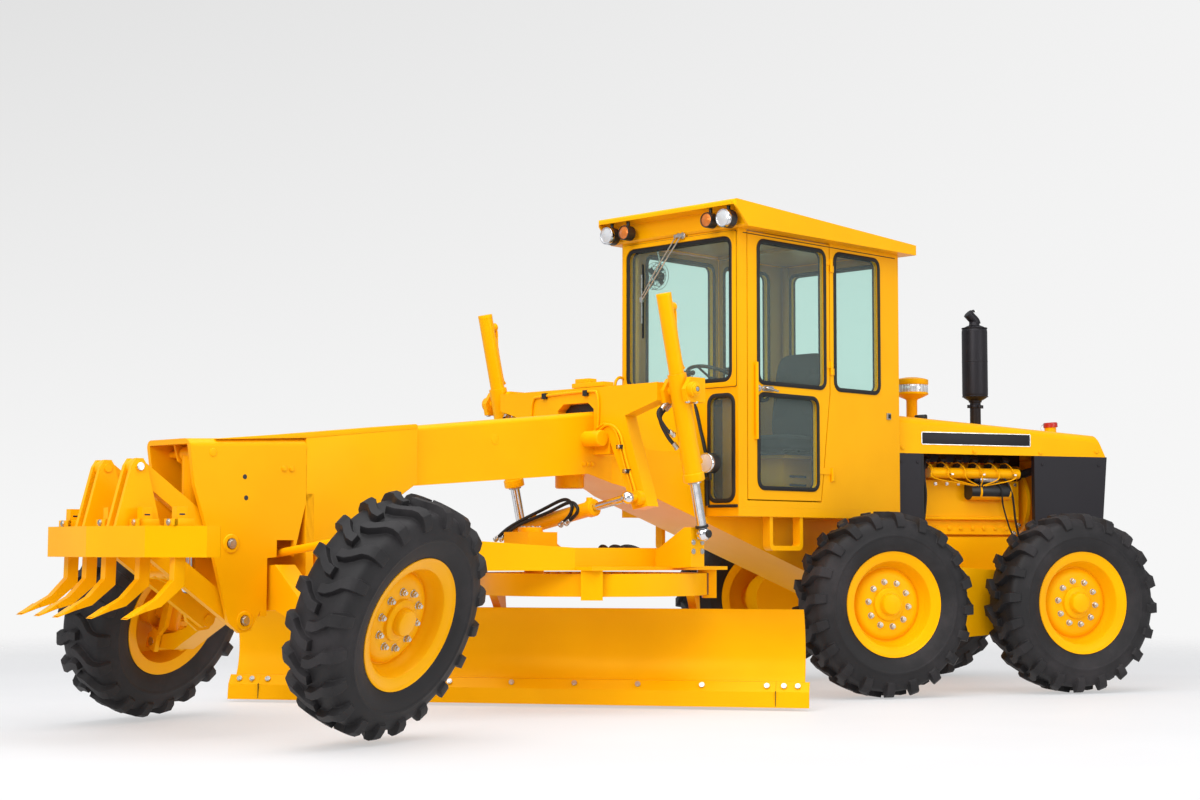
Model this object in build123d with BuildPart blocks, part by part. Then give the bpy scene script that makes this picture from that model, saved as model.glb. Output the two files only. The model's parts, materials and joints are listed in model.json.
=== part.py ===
from build123d import *
import os
from math import asin, cos, degrees, hypot, radians, sin

# Articulated motor grader. Each unit is drawn straight ahead: X forward, Y to the left and Z up
# from the ground, with the articulation pin on the Z axis. Lengths are in millimetres.

# ---- driving dimensions ----
articulation = 24.6          # front unit turned left of the rear unit, degrees
wheel_lean = 21.5            # front wheels leaned to the left
wheel_steer = 13.5           # front wheels steered left
circle_turn = 34.5           # circle turned left of square
blade_shift = -500.0         # mouldboard slid to the right on its rails

tyre_radius = 617.0          # to the flats of the lugs
tyre_width = 354.0
lug_height = 30.0
lug_count = 15               # on each half of the tread
rim_radius = 350.0           # rim flange
rim_width = 300.0
barrel_radius = 305.0        # rim barrel, outside
barrel_wall = 22.0
hub_radius = 105.0
tyre_gap = 0.4               # tyre to rim
running_gap = 6.0            # between pieces that pass each other
pin_gap = 0.4                # bores round their pins, and seats that turn or slide
pane_gap = 0.3               # glass in its opening
pane_corner = 55.0           # corners of the windows

rear_track = 2014.0          # between the centres of the rear tyres
mid_axle = 300.0             # ahead of the pin
tandem_spacing = 1465.0
tandem_wall = 195.0          # thickness of a tandem case
tandem_gap = 35.0            # from a case to the tyres
front_axle = 5180.0          # ahead of the pin
front_track = 2032.0

rail_inner = 300.0
rail_outer = 360.0
rail_bottom = 760.0
rail_top = 1070.0
rail_rear = -1950.0
rail_front = -180.0
tow_x = -2000.0              # tow eye at the tail
tow_z = 800.0
tow_r = 22.0
hood_front = -130.0
hood_rear = -1860.0
hood_half = 440.0
hood_base = 1660.0
hood_rise_front = 270.0      # height of the hood's sides
hood_rise_rear = 160.0
hood_wall = 20.0
panel_wall = 40.0

beam_half = 160.0
frame_half = 260.0           # tall rear part of the front frame
frame_end = 160.0            # its rear end, ahead of the pin
frame_deck = 1190.0          # top under the cab
hump_end = 1870.0            # where the frame meets the cab front
hump_top = 1930.0
nose_half = 202.0
nose_wall = 25.0
nose_top = 1540.0

pin_radius = 45.0
hitch_lug = 50.0             # thickness of each hitch lug
hitch_low = 600.0
hitch_high = 1050.0
hitch_radius = 120.0

cab_front = 1850.0
cab_rear = 130.0
cab_half = 520.0
cab_wall = 40.0
roof_half = 620.0
roof_front = 1990.0
roof_rear = 50.0
header = 60.0                # wall above the windows
roof_edge = 70.0             # height of the roof's edge at the rear
roof_rise = 165.0            # from the roof's lip to its top at the visor
floor_wall = 60.0
glass_wall = 6.0
sill = 1300.0                # foot of the door
belt = 2060.0                # foot of the upper windows
window_top = 2990.0

saddle_x = 2750.0
saddle_wall = 100.0
saddle_top = 1980.0
lift_y = 800.0               # plane of each lift cylinder
lift_pin = (2710.0, 1930.0)  # trunnion, X and Z
lift_ball = (2500.0, 1070.0) # rod eye on the drawbar
yoke_inner = lift_y - 72     # faces of the yoke's cheeks towards the barrel
yoke_outer = lift_y + 72
yoke_back = 85.0             # web of the yoke behind the trunnion
lift_above = 590.0           # barrel above its trunnion
lift_below = 560.0           # barrel below its trunnion
barrel_r = 58.0
rod_r = 30.0

ball = (4860.0, 950.0)       # drawbar ball, X and Z
ball_r = 60.0
circle_x = 2650.0
circle_r = 720.0
circle_inner = 615.0
circle_low = 695.0
circle_high = 830.0
tooth_count = 48
tooth_height = 35.0

blade_length = 3660.0
blade_top = 612.0
blade_low = 15.0
blade_wall = 20.0
rail_reach = 1300.0          # half length of the blade's slide rails
pitch_pin = (-185.0, 165.0)  # behind the blade, X from the circle's centre and Z

scar_low_pin = (5410.0, 600.0)
scar_high_pin = (5500.0, 1000.0)
scar_link = (550.0, 385.0)   # reach of both link pairs, forward and up
scar_pin_r = 22.0
arm_inner = 128.0            # arms and links run between the nose's cheeks
arm_outer = nose_half - nose_wall - running_gap

parts = []                   # finished pieces with their names and poses


# ---- small helpers, all used inside a BuildPart block ----
def block(x0, x1, y0, y1, z0, z1, mode=Mode.ADD):
    with Locations(((x0 + x1) / 2, (y0 + y1) / 2, (z0 + z1) / 2)):
        Box(x1 - x0, y1 - y0, z1 - z0, mode=mode)


def side_plate(points, y0, y1, mode=Mode.ADD):
    """An outline in X and Z, thick from y0 to y1."""
    with BuildSketch(Plane.XZ.offset(-y1)) as outline:
        with BuildLine():
            Polyline(*points, close=True)
        make_face()
    extrude(outline.sketch, amount=y1 - y0, mode=mode)


def cross_plate(points, x0, x1, mode=Mode.ADD):
    """An outline in Y and Z, thick from x0 to x1."""
    with BuildSketch(Plane.YZ.offset(x0)) as outline:
        with BuildLine():
            Polyline(*points, close=True)
        make_face()
    extrude(outline.sketch, amount=x1 - x0, mode=mode)


def flat_plate(points, z0, z1, mode=Mode.ADD):
    """An outline in X and Y, thick from z0 to z1."""
    with BuildSketch(Plane.XY.offset(z0)) as outline:
        with BuildLine():
            Polyline(*points, close=True)
        make_face()
    extrude(outline.sketch, amount=z1 - z0, mode=mode)


def side_pane(x0, x1, z0, z1, y0, y1, mode=Mode.ADD):
    """A round-cornered panel in X and Z, thick from y0 to y1."""
    with BuildSketch(Plane.XZ.offset(-y1)) as pane:
        with Locations(((x0 + x1) / 2, (z0 + z1) / 2)):
            RectangleRounded(x1 - x0, z1 - z0, pane_corner)
    extrude(pane.sketch, amount=y1 - y0, mode=mode)


def front_pane(y0, y1, z0, z1, x0, x1, mode=Mode.ADD):
    """A round-cornered panel in Y and Z, thick from x0 to x1."""
    with BuildSketch(Plane.YZ.offset(x0)) as pane:
        with Locations(((y0 + y1) / 2, (z0 + z1) / 2)):
            RectangleRounded(y1 - y0, z1 - z0, pane_corner)
    extrude(pane.sketch, amount=x1 - x0, mode=mode)


def bar(start, end, radius, mode=Mode.ADD):
    """A round bar between two points."""
    line = Vector(*end) - Vector(*start)
    with BuildSketch(Plane(origin=start, z_dir=line)) as ring:
        Circle(radius)
    extrude(ring.sketch, amount=line.length, mode=mode)


def turned(point, rx=0.0, ry=0.0, rz=0.0):
    """A turn about a point."""
    back = (-point[0], -point[1], -point[2])
    return Location(point) * Location((0, 0, 0), (rx, ry, rz)) * Location(back)


def keep(builder, name, pose):
    parts.append((builder.part, name, pose))


# ---- poses of the moving groups at rest ----
rear = Location((0, 0, 0))
front = Location((0, 0, 0), (0, 0, articulation))
half_track = front_track / 2
hub_out = 116.0              # hub beyond the lean pin and kingpin
hub_up = 160.0               # hub above the lean pin
lean_pin_y = half_track - hub_out
# leaning lifts one hub and lowers the other, so the axle rocks to keep both wheels down
axle_roll = degrees(asin(hub_out * sin(radians(wheel_lean)) / half_track))
net_lean = radians(wheel_lean - axle_roll)
hub_rise = tyre_radius * cos(net_lean) + (tyre_width / 2 - 4) * sin(net_lean)
axle_z = hub_rise + hub_up * (1 - cos(radians(wheel_lean)))
lean_pin_z = axle_z - hub_up
axle_pin = (front_axle, 0.0, 780.0)
sides = {"left": 1, "right": -1}
rocked = front * turned(axle_pin, rx=axle_roll)
leaned = {}
steered = {}
for side, s in sides.items():
    leaned[side] = rocked * turned((front_axle, s * lean_pin_y, lean_pin_z), rx=-wheel_lean)
    steered[side] = leaned[side] * turned((front_axle, s * lean_pin_y, axle_z), rz=wheel_steer)
circled = front * turned((circle_x, 0, 0), rz=circle_turn)
shifted = circled * Location((0, blade_shift, 0))


# ---- wheels, drawn with the axle along Z and the outer face up ----
def facet_ring(z0, r0, z1, r1, mode=Mode.ADD, inside=False):
    """A many-sided frustum, measured to its corners, or to its flats for a bore."""
    ends = []
    for z, r in ((z0, r0), (z1, r1)):
        with BuildSketch(Plane.XY.offset(z)) as end:
            RegularPolygon(r, 2 * lug_count, major_radius=not inside)
        ends.append(end.sketch)
    loft(ends, ruled=True, mode=mode)


def make_tyre():
    half = tyre_width / 2
    shoulder = tyre_radius - lug_height
    tread = half - 42
    wall = tyre_radius - 122
    bead = barrel_radius + tyre_gap
    lip = rim_radius + tyre_gap + 2
    with BuildPart() as tyre:
        facet_ring(-tread, shoulder, tread, shoulder)
        for s in (1, -1):
            facet_ring(s * tread, shoulder, s * half, wall)
        for s in (1, -1):
            facet_ring(s * (rim_width / 2 - 13), lip, s * half, wall - 6, Mode.SUBTRACT, True)
            facet_ring(s * (rim_width / 2 - 27), bead, s * (rim_width / 2 - 13), lip, Mode.SUBTRACT, True)
        facet_ring(26 - rim_width / 2, bead, rim_width / 2 - 26, bead, Mode.SUBTRACT, True)
        # each lug is a slanted bar from the shoulder to just past the middle
        foot_radius = tyre_radius - 115
        for half_tread, start in ((1, 0.0), (-1, 0.5)):
            for k in range(lug_count):
                angle = 360 * (k + start) / lug_count
                spoke = Vector(cos(radians(angle)), sin(radians(angle)), 0)
                along = Vector(-spoke.Y, spoke.X, 0)
                with BuildSketch(Plane(origin=spoke * foot_radius, x_dir=along, z_dir=spoke)) as lug:
                    with BuildLine():
                        Polyline(
                            (-70, half_tread * (half - 6)),
                            (-12, half_tread * (half - 6)),
                            (68, half_tread * -14),
                            (18, half_tread * -14),
                            close=True,
                        )
                    make_face()
                extrude(lug.sketch, amount=tyre_radius - foot_radius)
    return tyre


def make_rim(hub_back):
    """A rim whose hub reaches hub_back inwards from the wheel's middle."""
    half = rim_width / 2
    inner = barrel_radius - barrel_wall
    with BuildPart() as rim:
        with BuildSketch(Plane.XZ):
            with BuildLine():
                Polyline(
                    (0, -hub_back),
                    (hub_radius, -hub_back),
                    (hub_radius, 45),
                    (inner, 45),
                    (inner, -half),
                    (rim_radius, -half),
                    (rim_radius, -half + 12),
                    (barrel_radius, -half + 25),
                    (barrel_radius, half - 25),
                    (rim_radius, half - 12),
                    (rim_radius, half),
                    (inner, half),
                    (inner - 15, 68),
                    (hub_radius, 62),
                    (hub_radius - 12, 84),
                    (78, 84),
                    (74, 128),
                    (0, 132),
                    close=True,
                )
            make_face()
        revolve(axis=Axis.Z)
    return rim


tyre = make_tyre()
upright = {"left": Location((0, 0, 0), (-90, 0, 0)), "right": Location((0, 0, 0), (90, 0, 0))}
tandem_outer = rear_track / 2 - tyre_width / 2 - tandem_gap
tandem_inner = tandem_outer - tandem_wall
rear_rim = make_rim(rear_track / 2 - tandem_outer - pin_gap)
for side, s in sides.items():
    for place, x in (("mid", mid_axle), ("rear", mid_axle - tandem_spacing)):
        wheel_pose = rear * Location((x, s * rear_track / 2, tyre_radius)) * upright[side]
        keep(tyre, f"tyre_{place}_{side}", wheel_pose)
        keep(rear_rim, f"rim_{place}_{side}", wheel_pose)
front_rim = make_rim(40)
for side, s in sides.items():
    wheel_pose = steered[side] * Location((front_axle, s * half_track, axle_z)) * upright[side]
    keep(tyre, f"tyre_front_{side}", wheel_pose)
    keep(front_rim, f"rim_front_{side}", wheel_pose)


# ---- rear unit ----
tandem_middle = mid_axle - tandem_spacing / 2
with BuildPart() as rear_frame:
    rail = [
        (rail_rear, rail_bottom + 60),
        (rail_rear, rail_top),
        (rail_front, rail_top),
        (rail_front, hitch_low),
        (rail_front - 30, hitch_low),
        (rail_front - 90, rail_bottom),
        (rail_rear + 150, rail_bottom),
    ]
    side_plate(rail, rail_inner, rail_outer)
    side_plate(rail, -rail_outer, -rail_inner)
    # cross members: tail, middle and hitch bulkhead
    block(rail_rear, rail_rear + 50, -hood_half, hood_half, rail_bottom + 60, rail_top - 10)
    block(rail_front - 60, rail_front, -rail_inner, rail_inner, hitch_low, rail_top)
    # tow eye under the tail
    flat_plate(
        [(rail_rear + 30, -90), (rail_rear + 30, 90), (rail_rear - 95, 55), (rail_rear - 95, -55)],
        tow_z - 20,
        tow_z + 20,
    )
    block(rail_rear, rail_rear + 50, -110, 110, tow_z - 60, rail_bottom + 80)
    bar((tow_x, 0, tow_z - 25), (tow_x, 0, tow_z + 25), tow_r, Mode.SUBTRACT)
    # two hitch lugs and the pin
    for z in (hitch_low, hitch_high - hitch_lug):
        flat_plate(
            [
                (rail_front, -200),
                (rail_front, 200),
                (-40, hitch_radius),
                (0, hitch_radius),
                (0, -hitch_radius),
                (-40, -hitch_radius),
            ],
            z,
            z + hitch_lug,
        )
        bar((0, 0, z), (0, 0, z + hitch_lug), hitch_radius)
    bar((0, 0, hitch_low - 30), (0, 0, hitch_high + 20), pin_radius)
keep(rear_frame, "rear_frame", rear)

with BuildPart() as tandem_cases:
    for s in sides.values():
        with BuildSketch(Plane.XZ.offset(-s * tandem_inner)) as case:
            with Locations((mid_axle, tyre_radius), (mid_axle - tandem_spacing, tyre_radius)):
                Circle(185)
            with Locations((tandem_middle, tyre_radius)):
                Circle(240)
            make_hull()
        extrude(case.sketch, amount=-s * tandem_wall)
    # axle housing between the cases, with saddles up to the rails
    bar((tandem_middle, -tandem_inner, tyre_radius), (tandem_middle, tandem_inner, tyre_radius), 140)
    bar((tandem_middle, -200, tyre_radius), (tandem_middle, 200, tyre_radius), 185)
    for s in sides.values():
        y = sorted((s * (rail_inner - 10), s * (rail_outer + 10)))
        block(tandem_middle - 150, tandem_middle + 150, *y, tyre_radius, rail_bottom)
keep(tandem_cases, "tandem_cases", rear)

pipe_r = 40.0
exhaust_x = -1030.0
cleaner_x = -495.0
hood_top_front = hood_base + hood_rise_front
hood_top_rear = hood_base + hood_rise_rear
with BuildPart() as hood:
    side_plate(
        [
            (hood_front, hood_base),
            (hood_front, hood_top_front),
            (hood_rear + 80, hood_top_rear),
            (hood_rear, hood_base),
        ],
        -hood_half,
        hood_half,
    )
    ridge = hood.edges().filter_by(lambda e: abs(e.center().Y) > hood_half - 1 and e.center().Z > hood_base + 60)
    fillet(ridge.filter_by(lambda e: e.length > 1000), 60)
    side_plate(
        [
            (hood_front - hood_wall, hood_base - 5),
            (hood_front - hood_wall, hood_top_front - hood_wall),
            (hood_rear + 90, hood_top_rear - hood_wall),
            (hood_rear + 28, hood_base - 5),
        ],
        hood_wall - hood_half,
        hood_half - hood_wall,
        Mode.SUBTRACT,
    )
    for x in (exhaust_x, cleaner_x):
        bar((x, 0, hood_base), (x, 0, hood_top_front + 50), pipe_r + pin_gap, Mode.SUBTRACT)
keep(hood, "hood", rear)

with BuildPart() as side_panels:
    # foot at the front and rear of each panel, then its top
    for x0, x1, slant in ((hood_front - 190, hood_front, 0), (hood_rear - 10, -1250, 50)):
        outline = [
            (x0 + slant, rail_top),
            (x1, rail_top),
            (x1, hood_base),
            (x0, hood_base),
        ]
        side_plate(outline, hood_half - panel_wall, hood_half)
        side_plate(outline, -hood_half, panel_wall - hood_half)
        for s in sides.values():
            block(x0 + slant, x1, min(s * rail_inner, s * hood_half), max(s * rail_inner, s * hood_half),
                  rail_top, rail_top + 10)
keep(side_panels, "side_panels", rear)

grille_x = hood_rear + 60
with BuildPart() as rear_grille:
    inner_half = hood_half - panel_wall
    block(grille_x - 25, grille_x, -inner_half, inner_half, rail_top + 12, hood_base)
    block(grille_x - 30, grille_x + 5, 40 - inner_half, inner_half - 40, rail_top + 52, hood_base - 40, Mode.SUBTRACT)
    bar_pitch = 60.0
    bar_count = int((hood_base - rail_top - 120) // bar_pitch)
    for k in range(bar_count):
        z = rail_top + 80 + k * bar_pitch
        block(grille_x - 22, grille_x - 4, 38 - inner_half, inner_half - 38, z, z + 18)
keep(rear_grille, "rear_grille", rear)

engine_front = -400.0
engine_rear = -1240.0
engine_half = 240.0
engine_top = hood_base - 180
with BuildPart() as engine:
    block(engine_rear, engine_front, -engine_half, engine_half, 870, engine_top)
    block(engine_rear + 40, engine_front - 30, -180, 180, engine_top, hood_base - 60)
    block(engine_rear + 20, engine_front - 20, -engine_half - 30, engine_half + 30, rail_top + 20, rail_top + 70)
    # feet on the rails
    for x in (engine_rear + 160, engine_front - 160):
        block(x - 50, x + 50, -rail_inner, rail_inner, 950, 1030)
    # manifold log with its runners, and the starter below it
    for k in range(6):
        x = engine_front - 90 - k * 132
        block(x - 35, x + 35, 150, 330, engine_top + 20, engine_top + 80)
    bar((engine_front - 40, 330, engine_top + 50), (engine_rear + 60, 330, engine_top + 50), 38)
    bar((engine_front - 390, 290, engine_top - 80), (engine_front - 720, 290, engine_top - 80), 62)
    block(engine_front - 700, engine_front - 420, 200, 290, engine_top - 110, engine_top - 50)
    # fan on its hub, then the radiator
    bar((engine_rear, 0, engine_top - 150), (engine_rear - 110, 0, engine_top - 150), 50)
    bar((engine_rear - 60, 0, engine_top - 150), (engine_rear - 90, 0, engine_top - 150), 260)
    block(-1720, -1560, -360, 360, rail_top + 10, hood_base - 10)
keep(engine, "engine", rear)


muffler_foot = hood_top_front + 180
muffler_head = muffler_foot + 520
with BuildPart() as exhaust:
    bar((exhaust_x, 0, hood_base + 40), (exhaust_x, 0, muffler_foot), pipe_r)
    bar((exhaust_x, 0, muffler_foot), (exhaust_x, 0, muffler_head), 94)
    bar((exhaust_x, 0, muffler_head), (exhaust_x, 0, muffler_head + 30), pipe_r)
    bar((exhaust_x - 14, 0, muffler_head + 20), (exhaust_x + 62, 0, muffler_head + 92), pipe_r - 4)
keep(exhaust, "exhaust", rear)

cleaner_foot = hood_top_front + 175
with BuildPart() as precleaner:
    bar((cleaner_x, 0, hood_base + 40), (cleaner_x, 0, cleaner_foot + 5), pipe_r)
    bar((cleaner_x, 0, cleaner_foot), (cleaner_x, 0, cleaner_foot + 105), 122)
    with Locations((cleaner_x, 0, cleaner_foot + 117)):
        Cone(122, 60, 34)
keep(precleaner, "precleaner", rear)


# ---- front frame: nose, beam, tall rear part and hitch tongue ----
with BuildPart() as front_frame:
    # side outline of the beam and of the deep part under the cab
    side_plate(
        [
            (5300, 1560),
            (3000, 1805),
            (hump_end, hump_top),
            (hump_end, frame_deck),
            (frame_end, frame_deck),
            (frame_end, 640),
            (300, 655),
            (2490, 1350),
            (2850, 1440),
            (5300, 1250),
        ],
        -frame_half,
        frame_half,
    )
    # the section narrows upwards, and the beam ahead of the saddle is slim
    cross_plate(
        [(-260, 500), (260, 500), (242, 1600), (130, 2000), (-130, 2000), (-242, 1600)],
        frame_end,
        5300,
        Mode.INTERSECT,
    )
    for s in sides.values():
        flank = [
            (2640, s * beam_half),
            (5400, s * beam_half),
            (5400, s * 400),
            (2350, s * 400),
            (2350, s * frame_half),
        ]
        flat_plate(flank, 1100, hump_top + 50, Mode.SUBTRACT)
    beam_tops = front_frame.edges().filter_by(
        lambda e: abs(abs(e.center().Y) - beam_half) < 1 and e.center().Z > 1600 and e.length > 1500
    )
    fillet(beam_tops, 30)
    # nose: two side plates, a top plate and a web
    cheek = [
        (5765, nose_top),
        (5730, 1300),
        (5630, 1020),
        (5510, 590),
        (5440, 535),
        (5370, 545),
        (5280, 700),
        (5270, 925),
        (5210, 930),
        (5210, 1020),
        (5100, 1020),
        (5100, 930),
        (5020, 1230),
        (5020, nose_top + 30),
    ]
    with BuildPart() as hoop:
        side_plate(cheek, -nose_half, nose_half)
        top_sides = hoop.edges().filter_by(lambda e: e.center().Z > nose_top + 5 and abs(e.center().Y) > nose_half - 1)
        fillet(top_sides, 45)
        side_plate(
            [(5800, nose_top - 30), (5000, nose_top), (5000, 500), (5800, 500)],
            nose_wall - nose_half,
            nose_half - nose_wall,
            Mode.SUBTRACT,
        )
    add(hoop.part)
    block(5270, 5310, -nose_half, nose_half, 620, 1520)
    bar((5620, -nose_half + 5, 1470), (5620, nose_half - 5, 1470), 20)
    for s in sides.values():
        for x, z in (scar_low_pin, scar_high_pin):
            bar((x, s * (arm_inner - 8), z), (x, s * (nose_half - 5), z), scar_pin_r)
    # lug behind the axle block, with the drawbar ball
    block(4970, 5020, -nose_half, nose_half, 660, 1270)
    bar((4975, 0, ball[1]), (ball[0], 0, ball[1]), 36)
    with Locations((ball[0], 0, ball[1])):
        Sphere(ball_r)
    # hitch tongue between the rear lugs
    tongue_low = hitch_low + hitch_lug + running_gap
    tongue_high = hitch_high - hitch_lug - running_gap
    block(0, 260, -100, 100, tongue_low, tongue_high)
    bar((0, 0, tongue_low), (0, 0, tongue_high), 110)
    bar((0, 0, tongue_low - 5), (0, 0, tongue_high + 5), pin_radius + pin_gap, Mode.SUBTRACT)
keep(front_frame, "front_frame", front)

with BuildPart() as saddle:
    x0 = saddle_x - saddle_wall / 2
    x1 = saddle_x + saddle_wall / 2
    cross_plate(
        [
            (-700, 1870),
            (-700, saddle_top),
            (700, saddle_top),
            (700, 1870),
            (430, 1790),
            (620, 1235),
            (500, 1215),
            (300, 1640),
            (300, 1560),
            (beam_half, 1560),
            (beam_half, 1845),
            (110, 1885),
            (-110, 1885),
            (-beam_half, 1845),
            (-beam_half, 1560),
            (-300, 1560),
            (-400, 1780),
        ],
        x0,
        x1,
    )
    for s in sides.values():
        bar((lift_pin[0], s * 600, lift_pin[1]), (lift_pin[0], s * (yoke_inner - 30), lift_pin[1]), 50)
        # yoke: inner and outer cheek joined behind the barrel, with a pin from each side
        for y0, y1 in ((yoke_inner - 32, yoke_inner), (yoke_outer, yoke_outer + 32)):
            side_plate(
                [
                    (lift_pin[0] - yoke_back - 30, lift_pin[1] - 75),
                    (lift_pin[0] + 45, lift_pin[1] - 75),
                    (lift_pin[0] + 62, lift_pin[1]),
                    (lift_pin[0] + 10, lift_pin[1] + 75),
                    (lift_pin[0] - yoke_back - 30, lift_pin[1] + 75),
                ],
                *sorted((s * y0, s * y1)),
            )
        block(
            lift_pin[0] - yoke_back - 30,
            lift_pin[0] - yoke_back,
            *sorted((s * (yoke_inner - 32), s * (yoke_outer + 32))),
            lift_pin[1] - 75,
            lift_pin[1] + 75,
        )
        for y0, y1 in ((yoke_inner - 5, lift_y - barrel_r + 16), (lift_y + barrel_r - 16, yoke_outer + 40)):
            bar((lift_pin[0], s * y0, lift_pin[1]), (lift_pin[0], s * y1, lift_pin[1]), 28)
    bar((x1, 560, 1285), (x1 + 40, 560, 1285), 45)
    bar((x1 + 30, 560, 1285), (x1 + 110, 560, 1285), 20)
    with Locations((x1 + 110, 560, 1285)):
        Sphere(26)
keep(saddle, "saddle", front)

# ---- front axle and steering ----
boss_r = 52.0
with BuildPart() as front_axle_beam:
    end = lean_pin_y - 40
    half_side = [
        (240, 880),
        (600, lean_pin_z + 70),
        (720, lean_pin_z + 45),
        (end, lean_pin_z + 36),
        (end, lean_pin_z - 40),
        (720, lean_pin_z - 50),
        (240, 640),
    ]
    outline = half_side + [(-y, z) for y, z in reversed(half_side)]
    cross_plate(outline, front_axle - 65, front_axle + 65)
    bar((5020 + pin_gap, 0, axle_pin[2]), (5270 - pin_gap, 0, axle_pin[2]), 55)
    for s in sides.values():
        ends = (front_axle - 65, s * lean_pin_y, lean_pin_z), (front_axle + 65, s * lean_pin_y, lean_pin_z)
        bar(*ends, boss_r)
        bar(*ends, 25 + pin_gap, Mode.SUBTRACT)
keep(front_axle_beam, "front_axle", rocked)

lean_bar_x = front_axle - 25
lever_y = lean_pin_y - 155
lever_z = lean_pin_z + 490
for side, s in sides.items():
    with BuildPart() as lean_bracket:
        # ears on the lean pin; the front one reaches up inside the kingpin to the top plate
        ear = [
            (s * (lean_pin_y - 50), lean_pin_z - 45),
            (s * (lean_pin_y + 40), lean_pin_z - 45),
            (s * (lean_pin_y + 40), lean_pin_z + 35),
            (s * (lean_pin_y + 10), lean_pin_z + 60),
            (s * (lean_pin_y + 10), lean_pin_z + 82),
        ]
        back_of_c = [
            (s * (lean_pin_y - 45), lean_pin_z + 82),
            (s * (lean_pin_y - 45), axle_z + 150),
            (s * (lean_pin_y - 100), axle_z + 150),
            (s * (lean_pin_y - 100), lean_pin_z + 125),
            (s * (lean_pin_y - 50), lean_pin_z + 50),
        ]
        cross_plate(ear + back_of_c, front_axle + 70, front_axle + 98)
        cross_plate(ear + [(s * (lean_pin_y - 50), lean_pin_z + 82)], front_axle - 98, front_axle - 70)
        bar((front_axle - 90, s * lean_pin_y, lean_pin_z), (front_axle + 90, s * lean_pin_y, lean_pin_z), 25)
        block(
            front_axle - 98,
            front_axle + 98,
            *sorted((s * (lean_pin_y - 30), s * (lean_pin_y + 10))),
            lean_pin_z + 60,
            lean_pin_z + 82,
        )
        block(
            front_axle - 50,
            front_axle + 98,
            *sorted((s * (lean_pin_y - 100), s * (lean_pin_y + 45))),
            axle_z + 112,
            axle_z + 150,
        )
        # lever up to the lean bar
        cross_plate(
            [
                (s * (lean_pin_y - 75), axle_z + 90),
                (s * (lean_pin_y - 60), axle_z + 150),
                (s * (lever_y + 32), lever_z + 30),
                (s * (lever_y - 32), lever_z + 30),
                (s * (lever_y - 32), lever_z - 40),
                (s * (lean_pin_y - 100), axle_z + 90),
            ],
            lean_bar_x + 26,
            lean_bar_x + 50,
        )
    keep(lean_bracket, f"lean_bracket_{side}", leaned[side])

    with BuildPart() as knuckle:
        low = lean_pin_z + 82 + pin_gap
        bar((front_axle, s * lean_pin_y, low), (front_axle, s * lean_pin_y, axle_z + 112 - pin_gap), 58)
        spindle_end = s * (half_track - 40 - pin_gap)
        bar((front_axle, s * (lean_pin_y + 10), axle_z), (front_axle, spindle_end, axle_z), 50)
        block(
            front_axle - 200,
            front_axle - 20,
            *sorted((s * (lean_pin_y - 22), s * (lean_pin_y + 22))),
            low,
            low + 32,
        )
    keep(knuckle, f"knuckle_{side}", steered[side])

# the lean bar joins both levers, drawn where they stand at rest
lever_spot = {}
for side, s in sides.items():
    spot = turned((front_axle, s * lean_pin_y, lean_pin_z), rx=-wheel_lean)
    lever_spot[side] = (spot * Location((lean_bar_x, s * lever_y, lever_z))).position
with BuildPart() as lean_bar:
    bar(tuple(lever_spot["right"]), tuple(lever_spot["left"]), 22)
    for spot in lever_spot.values():
        bar((lean_bar_x - 24, spot.Y, spot.Z), (lean_bar_x + 25.5, spot.Y, spot.Z), 34)
keep(lean_bar, "lean_bar", rocked)

# ---- drawbar and circle ----
shift_x = saddle_x + saddle_wall / 2 + 110
shift_top = (560.0, 1285.0)
shift_low = (-400.0, 1100.0)
shift_length = hypot(shift_low[0] - shift_top[0], shift_low[1] - shift_top[1])


def on_shift(distance):
    """A point on the centre shift cylinder's line, so far from the saddle's arm."""
    share = distance / shift_length
    return (
        shift_x,
        shift_top[0] + (shift_low[0] - shift_top[0]) * share,
        shift_top[1] + (shift_low[1] - shift_top[1]) * share,
    )


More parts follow.
